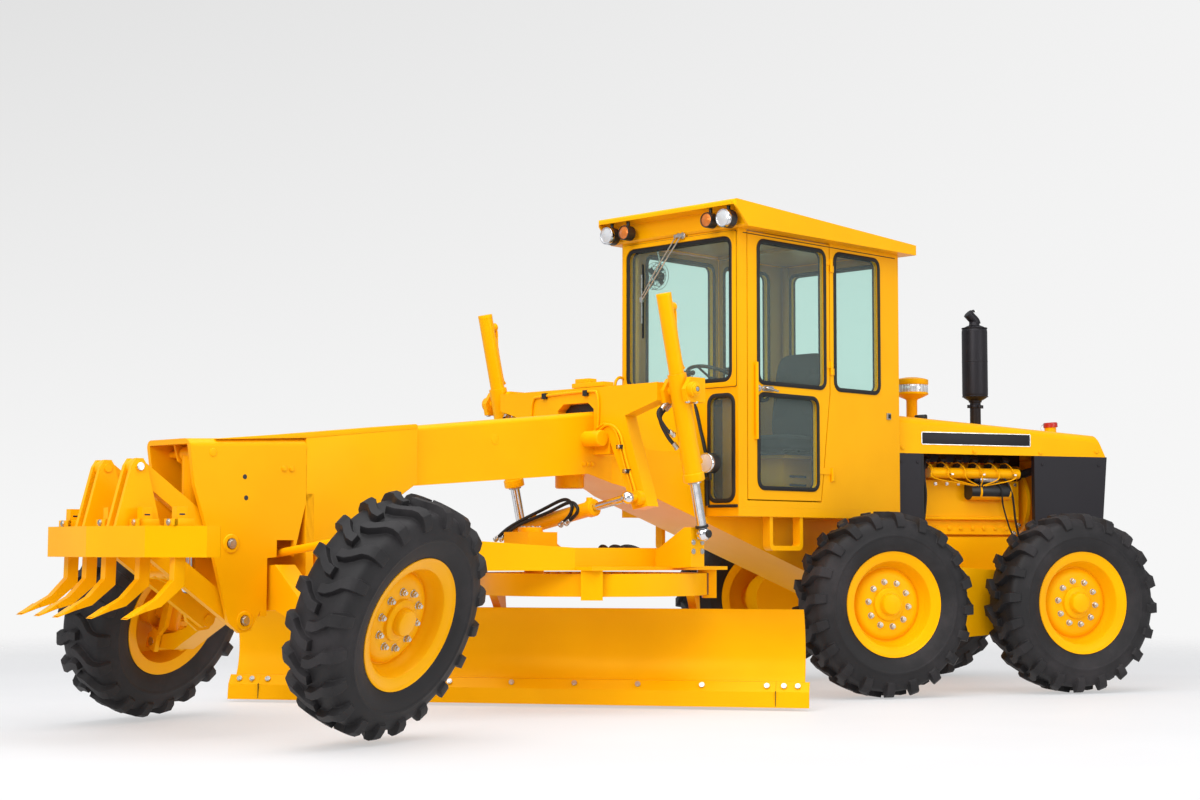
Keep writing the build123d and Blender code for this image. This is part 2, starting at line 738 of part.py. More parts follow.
with BuildPart() as drawbar:
    deck = circle_high + 20
    shoe_foot = 20
    for s in sides.values():
        flat_plate(
            [
                (ball[0], s * 75),
                (4300, s * 110),
                (3250, s * 460),
                (2230, s * 460),
                (2230, s * 310),
                (3150, s * 310),
                (4050, 0),
                (ball[0], 0),
            ],
            deck,
            1050,
        )
    side_plate(
        [(2200, 985), (3250, 985), (4300, 1051), (4300, 1100), (2200, 1100)],
        -600,
        600,
        Mode.SUBTRACT,
    )
    flat_plate([(2050, -600), (3250, -600), (3250, 600), (2050, 600)], deck, deck + 22)
    with Locations((circle_x, 0, deck)):
        Cylinder(430, 80, mode=Mode.SUBTRACT)
    # guide shoes round the ring
    for a in (45, 135, 225, 315):
        spot = Location((circle_x, 0, 0), (0, 0, a))
        for z0, z1, r0, r1 in (
            (circle_low - shoe_foot, deck, circle_r + running_gap, circle_r + 56),
            (circle_low - shoe_foot, circle_low - pin_gap, circle_r - 30, circle_r + 20),
            (circle_high + pin_gap, deck, circle_r - 60, circle_r + 56),
        ):
            with BuildSketch(Plane(spot).offset(z0)) as shoe:
                with Locations(((r0 + r1) / 2, 0)):
                    Rectangle(r1 - r0, 130)
            extrude(shoe.sketch, amount=z1 - z0)
    # arms to the lift cylinders, with their ball studs
    for s in sides.values():
        cross_plate(
            [
                (s * 400, deck),
                (s * (lift_y - 45), deck + 20),
                (s * (lift_y - 45), lift_ball[1] + 40),
                (s * (lift_y - 100), lift_ball[1] + 40),
                (s * 480, deck + 130),
                (s * 400, deck + 130),
            ],
            2440,
            2560,
        )
        bar((lift_ball[0], s * (lift_y - 100), lift_ball[1]), (lift_ball[0], s * lift_y, lift_ball[1]), 20)
        with Locations((lift_ball[0], s * lift_y, lift_ball[1])):
            Sphere(30)
    # stud for the centre shift cylinder
    bar((shift_x - 80, shift_low[0], shift_low[1]), (shift_x, shift_low[0], shift_low[1]), 20)
    block(shift_x - 160, shift_x - 70, shift_low[0] - 30, shift_low[0] + 30, deck + 20, shift_low[1] + 40)
    with Locations((shift_x, *shift_low)):
        Sphere(26)
    # turning drive and its pinion
    block(3060, 3300, -110, 110, deck + 20, 1080)
    bar((3150, 0, circle_low + 10), (3150, 0, deck + 30), 60)
    with Locations((ball[0], 0, ball[1])):
        Sphere(ball_r + 1, mode=Mode.SUBTRACT)
keep(drawbar, "drawbar", front)

with BuildPart() as circle:
    with BuildSketch(Plane.XY.offset(circle_low)):
        with Locations((circle_x, 0)):
            Circle(circle_r)
            Circle(circle_inner, mode=Mode.SUBTRACT)
            with PolarLocations(circle_inner - tooth_height / 2 + 2, tooth_count):
                Rectangle(tooth_height + 4, 34)
    extrude(amount=circle_high - circle_low)
    # arms down to the blade
    for s in sides.values():
        side_plate(
            [
                (circle_x - 190, circle_low),
                (circle_x + 60, circle_low),
                (circle_x - 40, 630),
                (circle_x + pitch_pin[0] + 42, 540),
                (circle_x + pitch_pin[0] + 42, pitch_pin[1] - 40),
                (circle_x + pitch_pin[0] - 45, pitch_pin[1] - 45),
                (circle_x + pitch_pin[0] - 95, 400),
            ],
            *sorted((s * 602, s * 652)),
        )
        pivot = (circle_x + pitch_pin[0], pitch_pin[1])
        bar((pivot[0], s * 595, pivot[1]), (pivot[0], s * 660, pivot[1]), 22 + pin_gap, Mode.SUBTRACT)
keep(circle, "circle", circled)


def mouldboard_curve(offset):
    """The blade's concave face, offset backwards, as three points: foot, belly and top."""
    return (
        (circle_x + 62 - offset, 110),
        (circle_x - 30 - offset, 350),
        (circle_x + 90 - offset * 0.8, blade_top),
    )


rail_heights = (225, 470)
rail_back = circle_x - 107
slide_gap = 0.4
with BuildPart() as mouldboard:
    with BuildSketch(Plane.XZ.offset(-blade_length / 2)) as section:
        with BuildLine():
            face = mouldboard_curve(0)
            back = mouldboard_curve(blade_wall)
            face_arc = ThreePointArc(*face)
            Line(face[2], back[2])
            ThreePointArc(back[2], back[1], back[0])
            Line(back[0], face[0])
        make_face()
    extrude(section.sketch, amount=blade_length)
    # slide rails on gussets behind the blade
    for z in rail_heights:
        block(rail_back, rail_back + 40, -rail_reach, rail_reach, z - 25, z + 25)
        for y in (-rail_reach + 15, 0 - 15, rail_reach - 45):
            block(rail_back + 38, circle_x - 30, y, y + 30, z - 25, z + 25)
keep(mouldboard, "mouldboard", shifted)

with BuildPart() as cutting_edge:
    half = blade_length / 2
    # the edge lies on the foot of the blade's face, on the chord between two of its points
    foot, high = (face_arc @ 0), (face_arc @ 0.13)
    edge_side = [
        (high.X + 1, high.Y),
        (foot.X + 0.2, foot.Y),
        (foot.X + 14, blade_low),
        (foot.X + 32, blade_low),
        (foot.X + 20, foot.Y),
        (high.X + 19, high.Y),
    ]
    side_plate(edge_side, -half + 175, half - 175)
    side_plate(edge_side, half - 174, half + 30)
    side_plate(edge_side, -half - 30, -half + 174)
keep(cutting_edge, "cutting_edge", shifted)

with BuildPart() as blade_bracket:
    for s in sides.values():
        side_plate(
            [
                (circle_x - 64, 540),
                (circle_x - 200, 540),
                (pivot[0] - 42, pivot[1] + 30),
                (pivot[0] - 42, pivot[1] - 42),
                (circle_x - 64, pivot[1] - 20),
            ],
            *sorted((s * 520, s * 594)),
        )
        for z in rail_heights:
            block(
                rail_back - slide_gap,
                circle_x - 60,
                *sorted((s * 515, s * 600)),
                z - 25 - slide_gap,
                z + 25 + slide_gap,
                Mode.SUBTRACT,
            )
        bar((pivot[0], s * 580, pivot[1]), (pivot[0], s * 654, pivot[1]), 22)
    bar((circle_x - 175, -560, 340), (circle_x - 175, 560, 340), 26)
keep(blade_bracket, "blade_bracket", circled)

# ---- lift cylinders ----
lift_dx = lift_ball[0] - lift_pin[0]
lift_dz = lift_ball[1] - lift_pin[1]
lift_length = hypot(lift_dx, lift_dz)


def on_lift(distance, y):
    """A point on a lift cylinder's line, so far below its trunnion."""
    return (
        lift_pin[0] + lift_dx * distance / lift_length,
        y,
        lift_pin[1] + lift_dz * distance / lift_length,
    )


for side, s in sides.items():
    y = s * lift_y
    with BuildPart() as lift_barrel:
        bar(on_lift(-lift_above, y), on_lift(-90, y), barrel_r - 12)
        bar(on_lift(-100, y), on_lift(lift_below, y), barrel_r)
        bar(on_lift(-lift_above + 40, y), on_lift(lift_below + 5, y), rod_r + 1, Mode.SUBTRACT)
        for out in (1, -1):
            bar(
                (lift_pin[0], y + out * (barrel_r - 18), lift_pin[1]),
                (lift_pin[0], y + out * (barrel_r + 14), lift_pin[1]),
                28 + pin_gap,
                Mode.SUBTRACT,
            )
    keep(lift_barrel, f"lift_barrel_{side}", front)
    with BuildPart() as lift_rod:
        bar(on_lift(-120, y), on_lift(lift_length - 30, y), rod_r)
        with Locations(on_lift(lift_length, y)):
            Sphere(46)
            Sphere(31, mode=Mode.SUBTRACT)
        bar((lift_ball[0], y - s * 60, lift_ball[1]), (lift_ball[0], y, lift_ball[1]), 30, Mode.SUBTRACT)
    keep(lift_rod, f"lift_rod_{side}", front)

# ---- centre shift cylinder: its rod hangs on the saddle's arm, its barrel on the drawbar ----
with BuildPart() as shift_rod:
    bar(on_shift(30), on_shift(560), 24)
    with Locations(on_shift(0)):
        Sphere(40)
        Sphere(27, mode=Mode.SUBTRACT)
    bar((shift_x - 60, *shift_top), (shift_x, *shift_top), 26, Mode.SUBTRACT)
keep(shift_rod, "shift_rod", front)
with BuildPart() as shift_barrel:
    bar(on_shift(280), on_shift(shift_length - 36), 46)
    bar(on_shift(275), on_shift(shift_length - 80), 25, Mode.SUBTRACT)
    with Locations(on_shift(shift_length)):
        Sphere(48)
        Sphere(33, mode=Mode.SUBTRACT)
    bar((shift_x - 60, *shift_low), (shift_x, *shift_low), 34, Mode.SUBTRACT)
keep(shift_barrel, "shift_barrel", front)

# ---- scarifier ----
scar_bar_low = (scar_low_pin[0] + scar_link[0], scar_low_pin[1] + scar_link[1])
scar_bar_high = (scar_high_pin[0] + scar_link[0], scar_high_pin[1] + scar_link[1])
scar_eye = (scar_low_pin[0] + 200.0, scar_low_pin[1] + 175.0)
scar_top = (5620.0, 1470.0)
scar_length = hypot(scar_eye[0] - scar_top[0], scar_eye[1] - scar_top[1])


def on_scar(distance):
    """A point on the scarifier cylinder's line, so far below its top pin."""
    share = distance / scar_length
    return (
        scar_top[0] + (scar_eye[0] - scar_top[0]) * share,
        0,
        scar_top[1] + (scar_eye[1] - scar_top[1]) * share,
    )


with BuildPart() as scarifier_arms:
    for s in sides.values():
        y = sorted((s * arm_inner, s * arm_outer))
        side_plate(
            [
                (scar_low_pin[0] + 30, scar_low_pin[1] - 45),
                (scar_bar_low[0] + 30, scar_bar_low[1] - 45),
                (scar_bar_low[0] - 30, scar_bar_low[1] + 45),
                (scar_low_pin[0] - 30, scar_low_pin[1] + 45),
            ],
            *y,
        )
        for x, z in (scar_low_pin, scar_bar_low):
            bar((x, y[0], z), (x, y[1], z), 42)
    # cross tube with a fork for the cylinder's eye
    across = arm_inner + 4
    mid = (scar_low_pin[0] + 0.66 * scar_link[0], scar_low_pin[1] + 0.66 * scar_link[1])
    bar((mid[0], -across, mid[1]), (mid[0], across, mid[1]), 38)
    for s in sides.values():
        side_plate(
            [
                (mid[0] + 30, mid[1] + 20),
                (scar_eye[0] - 30, scar_eye[1] + 40),
                (scar_eye[0] - 30, scar_eye[1] - 35),
                (mid[0] + 30, mid[1] - 30),
            ],
            *sorted((s * 32, s * 52)),
        )
        bar((scar_eye[0], s * 29, scar_eye[1]), (scar_eye[0], s * 62, scar_eye[1]), 24)
    for x, z in (scar_low_pin, scar_bar_low):
        bar((x, -nose_half, z), (x, nose_half, z), scar_pin_r + pin_gap, Mode.SUBTRACT)
keep(scarifier_arms, "scarifier_arms", front)

with BuildPart() as scarifier_barrel:
    bar(on_scar(10), on_scar(530), 48)
    bar(on_scar(60), on_scar(535), 25, Mode.SUBTRACT)
    bar((scar_top[0], -46, scar_top[1]), (scar_top[0], 46, scar_top[1]), 42)
    bar((scar_top[0], -60, scar_top[1]), (scar_top[0], 60, scar_top[1]), 20 + pin_gap, Mode.SUBTRACT)
keep(scarifier_barrel, "scarifier_barrel", front)
with BuildPart() as scarifier_rod:
    bar(on_scar(180), on_scar(scar_length - 20), 24)
    bar((scar_eye[0], -23, scar_eye[1]), (scar_eye[0], 23, scar_eye[1]), 40)
    bar((scar_eye[0], -40, scar_eye[1]), (scar_eye[0], 40, scar_eye[1]), 20 + pin_gap, Mode.SUBTRACT)
keep(scarifier_rod, "scarifier_rod", front)

with BuildPart() as scarifier_links:
    for s in sides.values():
        y = sorted((s * arm_inner, s * arm_outer))
        side_plate(
            [
                (scar_high_pin[0] + 25, scar_high_pin[1] - 38),
                (scar_bar_high[0] + 25, scar_bar_high[1] - 38),
                (scar_bar_high[0] - 25, scar_bar_high[1] + 38),
                (scar_high_pin[0] - 25, scar_high_pin[1] + 38),
            ],
            *y,
        )
        for x, z in (scar_high_pin, scar_bar_high):
            bar((x, y[0], z), (x, y[1], z), 40)
    for x, z in (scar_high_pin, scar_bar_high):
        bar((x, -nose_half, z), (x, nose_half, z), scar_pin_r + pin_gap, Mode.SUBTRACT)
keep(scarifier_links, "scarifier_links", front)

with BuildPart() as scarifier:
    # V shaped bar, then its ears, then five shanks with curved points
    flat_plate(
        [(6180, -460), (6230, 0), (6180, 460), (5930, 620), (5850, 620), (6010, 440), (6010, -440),
         (5850, -620), (5930, -620)],
        930,
        1085,
    )
    # an ear outside each arm and link, and one inside
    for s in sides.values():
        for y0, y1 in ((arm_outer + pin_gap, arm_outer + 24), (arm_inner - 24, arm_inner - pin_gap)):
            side_plate(
                [
                    (scar_bar_low[0] - 50, 940),
                    (6180, 940),
                    (6180, 1085),
                    (scar_bar_high[0] + 45, scar_bar_high[1] + 5),
                    (scar_bar_high[0] + 20, scar_bar_high[1] + 42),
                    (scar_bar_high[0] - 20, scar_bar_high[1] + 42),
                    (scar_bar_high[0] - 45, scar_bar_high[1] + 5),
                    (scar_bar_low[0] - 50, 1040),
                ],
                *sorted((s * y0, s * y1)),
            )
        for x, z in (scar_bar_low, scar_bar_high):
            bar((x, s * (arm_inner - 30), z), (x, s * (arm_outer + 32), z), scar_pin_r)
    for y in (-500, -250, 0, 250, 500):
        x = 6090 - abs(y) * 0.16
        side_plate(
            [
                (x - 30, 1180),
                (x + 30, 1180),
                (x + 40, 820),
                (x + 130, 730),
                (x + 300, 640),
                (x + 110, 690),
                (x - 20, 790),
            ],
            y - 22,
            y + 22,
        )
keep(scarifier, "scarifier", front)

# ---- cab ----
with BuildPart() as cab_floor:
    block(cab_rear, cab_front, -cab_half, cab_half, frame_deck, frame_deck + floor_wall)
keep(cab_floor, "cab_floor", front)
floor_top = frame_deck + floor_wall
roof_drop = window_top + header  # lower lip of the roof
roof_back = roof_drop + roof_edge
roof_top = roof_drop + roof_rise
waist = belt - 30                # where the door's rear edge starts to slant
head = roof_drop + 10
front_windows = (            # across, then up
    (-460, 460, belt + 10, window_top),
    (270, cab_half - 40, floor_top + 40, belt - 90),
    (40 - cab_half, -270, floor_top + 40, belt - 90),
)
rear_window = (-430, 430, belt, window_top)
with BuildPart() as cab_front_wall:
    block(cab_front - cab_wall, cab_front, -cab_half, cab_half, floor_top, head)
    for y0, y1, z0, z1 in front_windows:
        front_pane(y0, y1, z0, z1, cab_front - cab_wall - 5, cab_front + 5, Mode.SUBTRACT)
keep(cab_front_wall, "cab_front_wall", front)
with BuildPart() as cab_rear_wall:
    block(cab_rear, cab_rear + cab_wall, -cab_half, cab_half, floor_top, head)
    front_pane(*rear_window, cab_rear - 5, cab_rear + cab_wall + 5, Mode.SUBTRACT)
keep(cab_rear_wall, "cab_rear_wall", front)

post = cab_front - cab_wall
door_windows = ((960.0, 1650.0, belt, window_top), (1040.0, 1650.0, sill + 75, belt - 75))  # along, then up
door_front = 1755.0
door_rear = 910.0
door_foot = 1010.0
door_top = window_top + 50
window_front = 850.0
window_rear = 360.0
door_edge = [
    (door_front, sill),
    (door_front, door_top),
    (door_rear, door_top),
    (door_rear, waist),
    (door_foot, sill),
]
hinge_x = 900.0
hinge_r = 9.0
hinge_pin_r = 4.5
hinge_y = cab_half + hinge_r + 1
hinge_spots = ((sill + 180, 1030.0), (belt + 140, 950.0), (window_top - 90, 950.0))  # height, end of the door's leaf
hinge_half = 45.0


def hinge_leaf(s, leaf_end, z0, z1):
    """One half of a door hinge on the outer face, its barrel on the hinge line."""
    web_end = hinge_x + (8 if leaf_end > hinge_x else -8)
    block(*sorted((hinge_x, leaf_end)), *sorted((s * cab_half, s * (cab_half + 5))), z0, z1)
    block(*sorted((hinge_x, web_end)), *sorted((s * cab_half, s * hinge_y)), z0, z1)
    bar((hinge_x, s * hinge_y, z0), (hinge_x, s * hinge_y, z1), hinge_r)


with BuildPart() as cab_sides:
    for s in sides.values():
        y0, y1 = sorted((s * (cab_half - cab_wall), s * cab_half))
        block(cab_rear + cab_wall, post, y0, y1, floor_top, head)
        side_plate(
            [
                (door_front + 8, sill - 8),
                (door_front + 8, door_top + 8),
                (door_rear - 8, door_top + 8),
                (door_rear - 8, waist - 4),
                (door_foot - 8, sill - 8),
            ],
            y0 - 5,
            y1 + 5,
            Mode.SUBTRACT,
        )
        side_pane(window_rear, window_front, belt, window_top, y0 - 5, y1 + 5, Mode.SUBTRACT)
        for z, _ in hinge_spots:
            hinge_leaf(s, hinge_x - 40, z - hinge_half, z)
            bar((hinge_x, s * hinge_y, z), (hinge_x, s * hinge_y, z + hinge_half), hinge_pin_r)
keep(cab_sides, "cab_sides", front)

lip = 14.0
visor_root = cab_front + 10
with BuildPart() as cab_roof:
    side_plate(
        [
            (roof_rear, roof_drop),
            (roof_rear, roof_back),
            (roof_front, roof_top),
            (roof_front, roof_top - 40),
            (visor_root, roof_drop),
        ],
        -roof_half,
        roof_half,
    )
    top_edges = cab_roof.faces().sort_by(Axis.Z)[-1].edges()
    fillet(top_edges, 18)
    # cab walls reach up into the pan, and the visor is open below
    block(cab_rear - 4, cab_front + 4, -cab_half - 4, cab_half + 4, roof_drop, roof_drop + 10, Mode.SUBTRACT)
    side_plate(
        [
            (cab_rear + 80, roof_drop - 5),
            (cab_rear + 80, roof_back - 35),
            (cab_front - 80, roof_top - 55),
            (cab_front - 80, roof_drop - 5),
        ],
        80 - cab_half,
        cab_half - 80,
        Mode.SUBTRACT,
    )
    side_plate(
        [
            (visor_root + lip, roof_drop - 5),
            (visor_root + lip, roof_top - 45),
            (roof_front - lip - 10, roof_top - 30),
            (roof_front + 5, roof_top - 40),
            (roof_front + 5, roof_drop - 5),
        ],
        lip - roof_half,
        roof_half - lip,
        Mode.SUBTRACT,
    )
keep(cab_roof, "cab_roof", front)

for side, s in sides.items():
    y0, y1 = sorted((s * (cab_half - cab_wall), s * cab_half))
    with BuildPart() as door:
        side_plate(door_edge, y0, y1)
        for window in door_windows:
            side_pane(*window, y0 - 5, y1 + 5, Mode.SUBTRACT)
        for z, leaf_end in hinge_spots:
            hinge_leaf(s, leaf_end, z + pin_gap, z + hinge_half)
            bore_r = hinge_pin_r + pin_gap
            bar((hinge_x, s * hinge_y, z), (hinge_x, s * hinge_y, z + 60), bore_r, Mode.SUBTRACT)
        bar((1680, s * (cab_half + 12), 1690), (1680, s * (cab_half + 12), 2190), 12)
        for z in (1700, 2180):
            block(1668, 1692, *sorted((s * (cab_half - 5), s * (cab_half + 12))), z - 12, z + 12)
    keep(door, f"door_{side}", front)
    with BuildPart() as door_glass:
        middle = s * (cab_half - cab_wall / 2)
        for x0, x1, z0, z1 in door_windows:
            pane = x0 + pane_gap, x1 - pane_gap, z0 + pane_gap, z1 - pane_gap
            side_pane(*pane, middle - glass_wall / 2, middle + glass_wall / 2)
    keep(door_glass, f"door_glass_{side}", front)

with BuildPart() as cab_glass:
    for x, windows in (
        (cab_front - cab_wall / 2, front_windows),
        (cab_rear + cab_wall / 2, (rear_window,)),
    ):
        for y0, y1, z0, z1 in windows:
            pane = y0 + pane_gap, y1 - pane_gap, z0 + pane_gap, z1 - pane_gap
            front_pane(*pane, x - glass_wall / 2, x + glass_wall / 2)
    for s in sides.values():
        middle = s * (cab_half - cab_wall / 2)
        pane = window_rear + pane_gap, window_front - pane_gap, belt + pane_gap, window_top - pane_gap
        side_pane(*pane, middle - glass_wall / 2, middle + glass_wall / 2)
keep(cab_glass, "cab_glass", front)

with BuildPart() as seat:
    block(560, 1040, -230, 230, 1640, 1760)
    side_plate([(560, 1700), (660, 1700), (560, 2360), (470, 2360)], -220, 220)
    block(640, 960, -150, 150, floor_top, 1640)
keep(seat, "seat", front)

with BuildPart() as console:
    block(1480, 1640, -130, 130, floor_top, 2000)
    bar((1560, 0, 1990), (1500, 0, 2110), 22)
    with BuildSketch(Plane(Location((1500, 0, 2105), (0, -25, 0)))) as wheel_rim:
        Circle(204)
        Circle(178, mode=Mode.SUBTRACT)
    extrude(wheel_rim.sketch, amount=24)
    bar((1500, -185, 2115), (1500, 185, 2115), 12)
    for k in range(4):
        y = 150 + 24 * k
        for s in sides.values():
            bar((1560, s * y, 1960), (1545, s * y, 2160), 6)
            with Locations((1545, s * y, 2170)):
                Sphere(17)
    block(1530, 1590, -240, 240, 1940, 1970)
keep(console, "console", front)

headlamp_y = 365.0
with BuildPart() as lamps:
    # work lamp and turn lamp under the visor on each side, each on its stalk
    for s in sides.values():
        for y, z, radius, depth in ((525, roof_drop + 45, 60, 70), (372, roof_drop + 50, 50, 60)):
            bar((1925, s * y, z), (1925 + depth, s * y, z), radius)
            bar((1945, s * y, z), (1945, s * y, roof_top - 35.8), 12)
    # round headlamps on stalks from the cab's front corners
    for s in sides.values():
        bar((cab_front + 100, s * 245.2, 1430), (cab_front + 100, s * (headlamp_y + 8), 1430), 10)
        bar((cab_front + 100, s * headlamp_y, 1430), (cab_front + 100, s * headlamp_y, 1480), 11)
        bar((cab_front + 70, s * headlamp_y, 1530), (cab_front + 140, s * headlamp_y, 1530), 66)
keep(lamps, "lamps", front)

with BuildPart() as steps:
    step_foot = 970.0
    for s in sides.values():
        with BuildSketch(Plane.XZ.offset(-s * (cab_half - 10))) as loop:
            with Locations((1360, (step_foot + frame_deck) / 2 + 30)):
                RectangleRounded(340, frame_deck - step_foot + 60, 40)
                RectangleRounded(276, frame_deck - step_foot - 4, 20, mode=Mode.SUBTRACT)
            with Locations((1360, frame_deck + 60)):
                Rectangle(400, 120, mode=Mode.SUBTRACT)
        extrude(loop.sketch, amount=s * 60)
keep(steps, "steps", front)

# ---- set the machine down about the middle of its footprint and write it ----
posed = [pose * shape for shape, name, pose in parts]
boxes = [shape.bounding_box() for shape in posed]
middle_x = (min(b.min.X for b in boxes) + max(b.max.X for b in boxes)) / 2
middle_y = (min(b.min.Y for b in boxes) + max(b.max.Y for b in boxes)) / 2
ground = min(b.min.Z for b in boxes)
settle = Location((-middle_x, -middle_y, -ground))
os.makedirs("parts", exist_ok=True)
for shape, (_, name, pose) in zip(posed, parts):
    shape = settle * shape
    shape.label = name
    export_step(shape, f"parts/{name}.step")
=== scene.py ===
"""Looks of the motor grader: finishes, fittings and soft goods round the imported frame."""

import json
from math import cos, pi, radians, sin

import bmesh
import bpy
from mathutils import Matrix, Vector


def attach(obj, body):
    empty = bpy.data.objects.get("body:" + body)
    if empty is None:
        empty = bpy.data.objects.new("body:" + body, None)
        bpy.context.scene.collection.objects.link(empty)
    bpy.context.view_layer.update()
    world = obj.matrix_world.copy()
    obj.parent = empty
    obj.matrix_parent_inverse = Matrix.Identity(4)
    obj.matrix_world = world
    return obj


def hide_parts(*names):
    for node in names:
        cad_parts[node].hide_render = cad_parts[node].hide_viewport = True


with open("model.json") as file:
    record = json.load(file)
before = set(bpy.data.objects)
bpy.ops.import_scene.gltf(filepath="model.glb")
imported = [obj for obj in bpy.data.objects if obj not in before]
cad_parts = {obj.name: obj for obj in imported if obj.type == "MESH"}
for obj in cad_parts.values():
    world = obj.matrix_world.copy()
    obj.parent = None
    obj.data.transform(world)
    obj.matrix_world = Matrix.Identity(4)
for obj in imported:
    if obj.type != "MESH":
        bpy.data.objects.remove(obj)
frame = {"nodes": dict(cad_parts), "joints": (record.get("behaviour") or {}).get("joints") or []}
nodes = frame["nodes"]
joints = {j["name"]: j for j in frame["joints"]}
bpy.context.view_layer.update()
up = Vector((0, 0, 1))
merge_gap = 1e-5             # points nearer than this are one
sharp_angle = 0.6            # edges that bend more than this are softened, radians
sides = {"left": 1, "right": -1}


# ---- the machine's own axes, read from its joints; lengths are metres from here on ----
def axes_at(origin, along, left):
    """A matrix with X along, Y to the left and Z across both."""
    x = Vector(along).normalized()
    y = Vector(left)
    y = (y - x * y.dot(x)).normalized()
    turn = Matrix((x, y, x.cross(y))).transposed().to_4x4()
    return Matrix.Translation(origin) @ turn


tyre_height = 0.617          # a rear hub's height over the level that heights are counted from
level = joints["spin_mid_left"]["pos_m"][2] - tyre_height


def on_ground(joint):
    spot = joints[joint]["pos_m"]
    return Vector((spot[0], spot[1], level))


def unit_axes(pivot, left_joint):
    left = Vector(joints[left_joint]["axis"])
    return axes_at(on_ground(pivot), left.cross(up), left)


def middle_along(node, place):
    """How far a node's middle lies to the left in a unit's own axes."""
    inverse = place.inverted()
    spread = [(inverse @ v.co).y for v in nodes[node].data.vertices]
    return (min(spread) + max(spread)) / 2


rear = Matrix.Translation(on_ground("articulation"))
front = unit_axes("articulation", "drawbar_raise")
turned_ring = unit_axes("circle_turn", "blade_pitch")
blade = turned_ring @ Matrix.Translation((0, middle_along("mouldboard", turned_ring), 0))


def wheel_axes(name, s):
    """Axes at a wheel's middle, with Y pointing out of the machine."""
    spin = joints[f"spin_{name}"]
    out = Vector(spin["axis"]) * s
    return axes_at(Vector(spin["pos_m"]), out.cross(up), out)


wheels = {
    f"{place}_{side}": wheel_axes(f"{place}_{side}", s)
    for side, s in sides.items()
    for place in ("front", "mid", "rear")
}


# ---- shader sums written as plain expressions ----
class Wire:
    """A socket in a shader tree that adds, subtracts and multiplies like a number."""

    def __init__(self, tree, socket):
        self.tree = tree
        self.socket = socket

    def maths(self, kind, first, second):
        node = self.tree.nodes.new("ShaderNodeMath")
        node.operation = kind
        for value, place in ((first, node.inputs[0]), (second, node.inputs[1])):
            join(self.tree, value, place)
        return Wire(self.tree, node.outputs[0])

    def __add__(self, other):
        return self.maths("ADD", self, other)

    def __sub__(self, other):
        return self.maths("SUBTRACT", self, other)

    def __rsub__(self, other):
        return self.maths("SUBTRACT", other, self)

    def __mul__(self, other):
        return self.maths("MULTIPLY", self, other)

    __radd__ = __add__
    __rmul__ = __mul__


def join(tree, value, place):
    """Links a wire into a socket, or sets the socket to a plain value."""
    if isinstance(value, Wire):
        tree.links.new(value.socket, place)
    else:
        place.default_value = value


class Finish:
    """One material being put together."""

    def __init__(self, name):
        self.material = bpy.data.materials.new(name)
        self.material.use_nodes = True
        self.tree = self.material.node_tree
        self.tree.nodes.clear()
        self.spot = self.node("TexCoord", out="Object")

    def node(self, kind, settings=None, out=0, **inputs):
        node = self.tree.nodes.new("ShaderNode" + kind)
        for key, value in (settings or {}).items():
            setattr(node, key, value)
        for key, value in inputs.items():
            join(self.tree, value, node.inputs[key.replace("_", " ")])
        return Wire(self.tree, node.outputs[out])

    def clouds(self, scale, detail=3.0, roughness=0.5):
        return self.node("TexNoise", Vector=self.spot, Scale=scale, Detail=detail, Roughness=roughness)

    def between(self, value, low, high):
        """The value eased from 0 at low to 1 at high."""
        settings = {"interpolation_type": "SMOOTHSTEP"}
        return self.node("MapRange", settings, Value=value, From_Min=low, From_Max=high)

    def blend(self, amount, first, second):
        node = self.tree.nodes.new("ShaderNodeMix")
        node.data_type = "RGBA"
        for value, place in ((amount, 0), (first, 6), (second, 7)):
            join(self.tree, value, node.inputs[place])
        return Wire(self.tree, node.outputs[2])

    def relief(self, height, strength, distance, edge=0.0):
        """Bump over the surface, with sharp edges shown rounded if edge is set."""
        inputs = {"Height": height, "Strength": strength, "Distance": distance}
        if edge:
            inputs["Normal"] = self.node("Bevel", {"samples": 4}, Radius=edge)
        return self.node("Bump", **inputs)

    def skin(self, **inputs):
        """The surface itself; input names are the shader's, with spaces written as underscores."""
        surface = self.node("BsdfPrincipled", **inputs)
        self.close(surface)
        return self.material

    def mixed(self, amount, first, second):
        """Two shaders mixed."""
        mix = self.node("MixShader", Fac=amount)
        slots = mix.socket.node.inputs
        self.tree.links.new(first.socket, slots[1])
        self.tree.links.new(second.socket, slots[2])
        return mix

    def close(self, surface):
        end = self.tree.nodes.new("ShaderNodeOutputMaterial")
        self.tree.links.new(surface.socket, end.inputs["Surface"])


def colour(red, green, blue):
    return (red, green, blue, 1.0)


def lighter(tint, share):
    """A colour made lighter or darker by one share."""
    return colour(*(part * share for part in tint[:3]))


def grey(tone):
    return colour(tone, tone, tone)


def painted(name, fresh, shaded, edge=0.003, sheen=(1.0, 0.62, 0.08), rough=0.30):
    """Sprayed enamel: slight shifts of tone, orange peel and faint scuffs."""
    paint = Finish(name)
    tone = paint.between(paint.clouds(2.2, 4.0), 0.3, 0.7)
    base = paint.blend(tone, fresh, shaded)
    fine = paint.clouds(160.0, 2.0)
    scuff = paint.between(paint.clouds(11.0, 6.0, 0.7), 0.62, 0.8)
    return paint.skin(
        Base_Color=base,
        Roughness=rough + tone * 0.06 + scuff * 0.12,
        Specular_Tint=(*sheen, 1.0),
        Specular_IOR_Level=0.5,
        Normal=paint.relief(fine, 0.06, 0.0006, edge),
    )


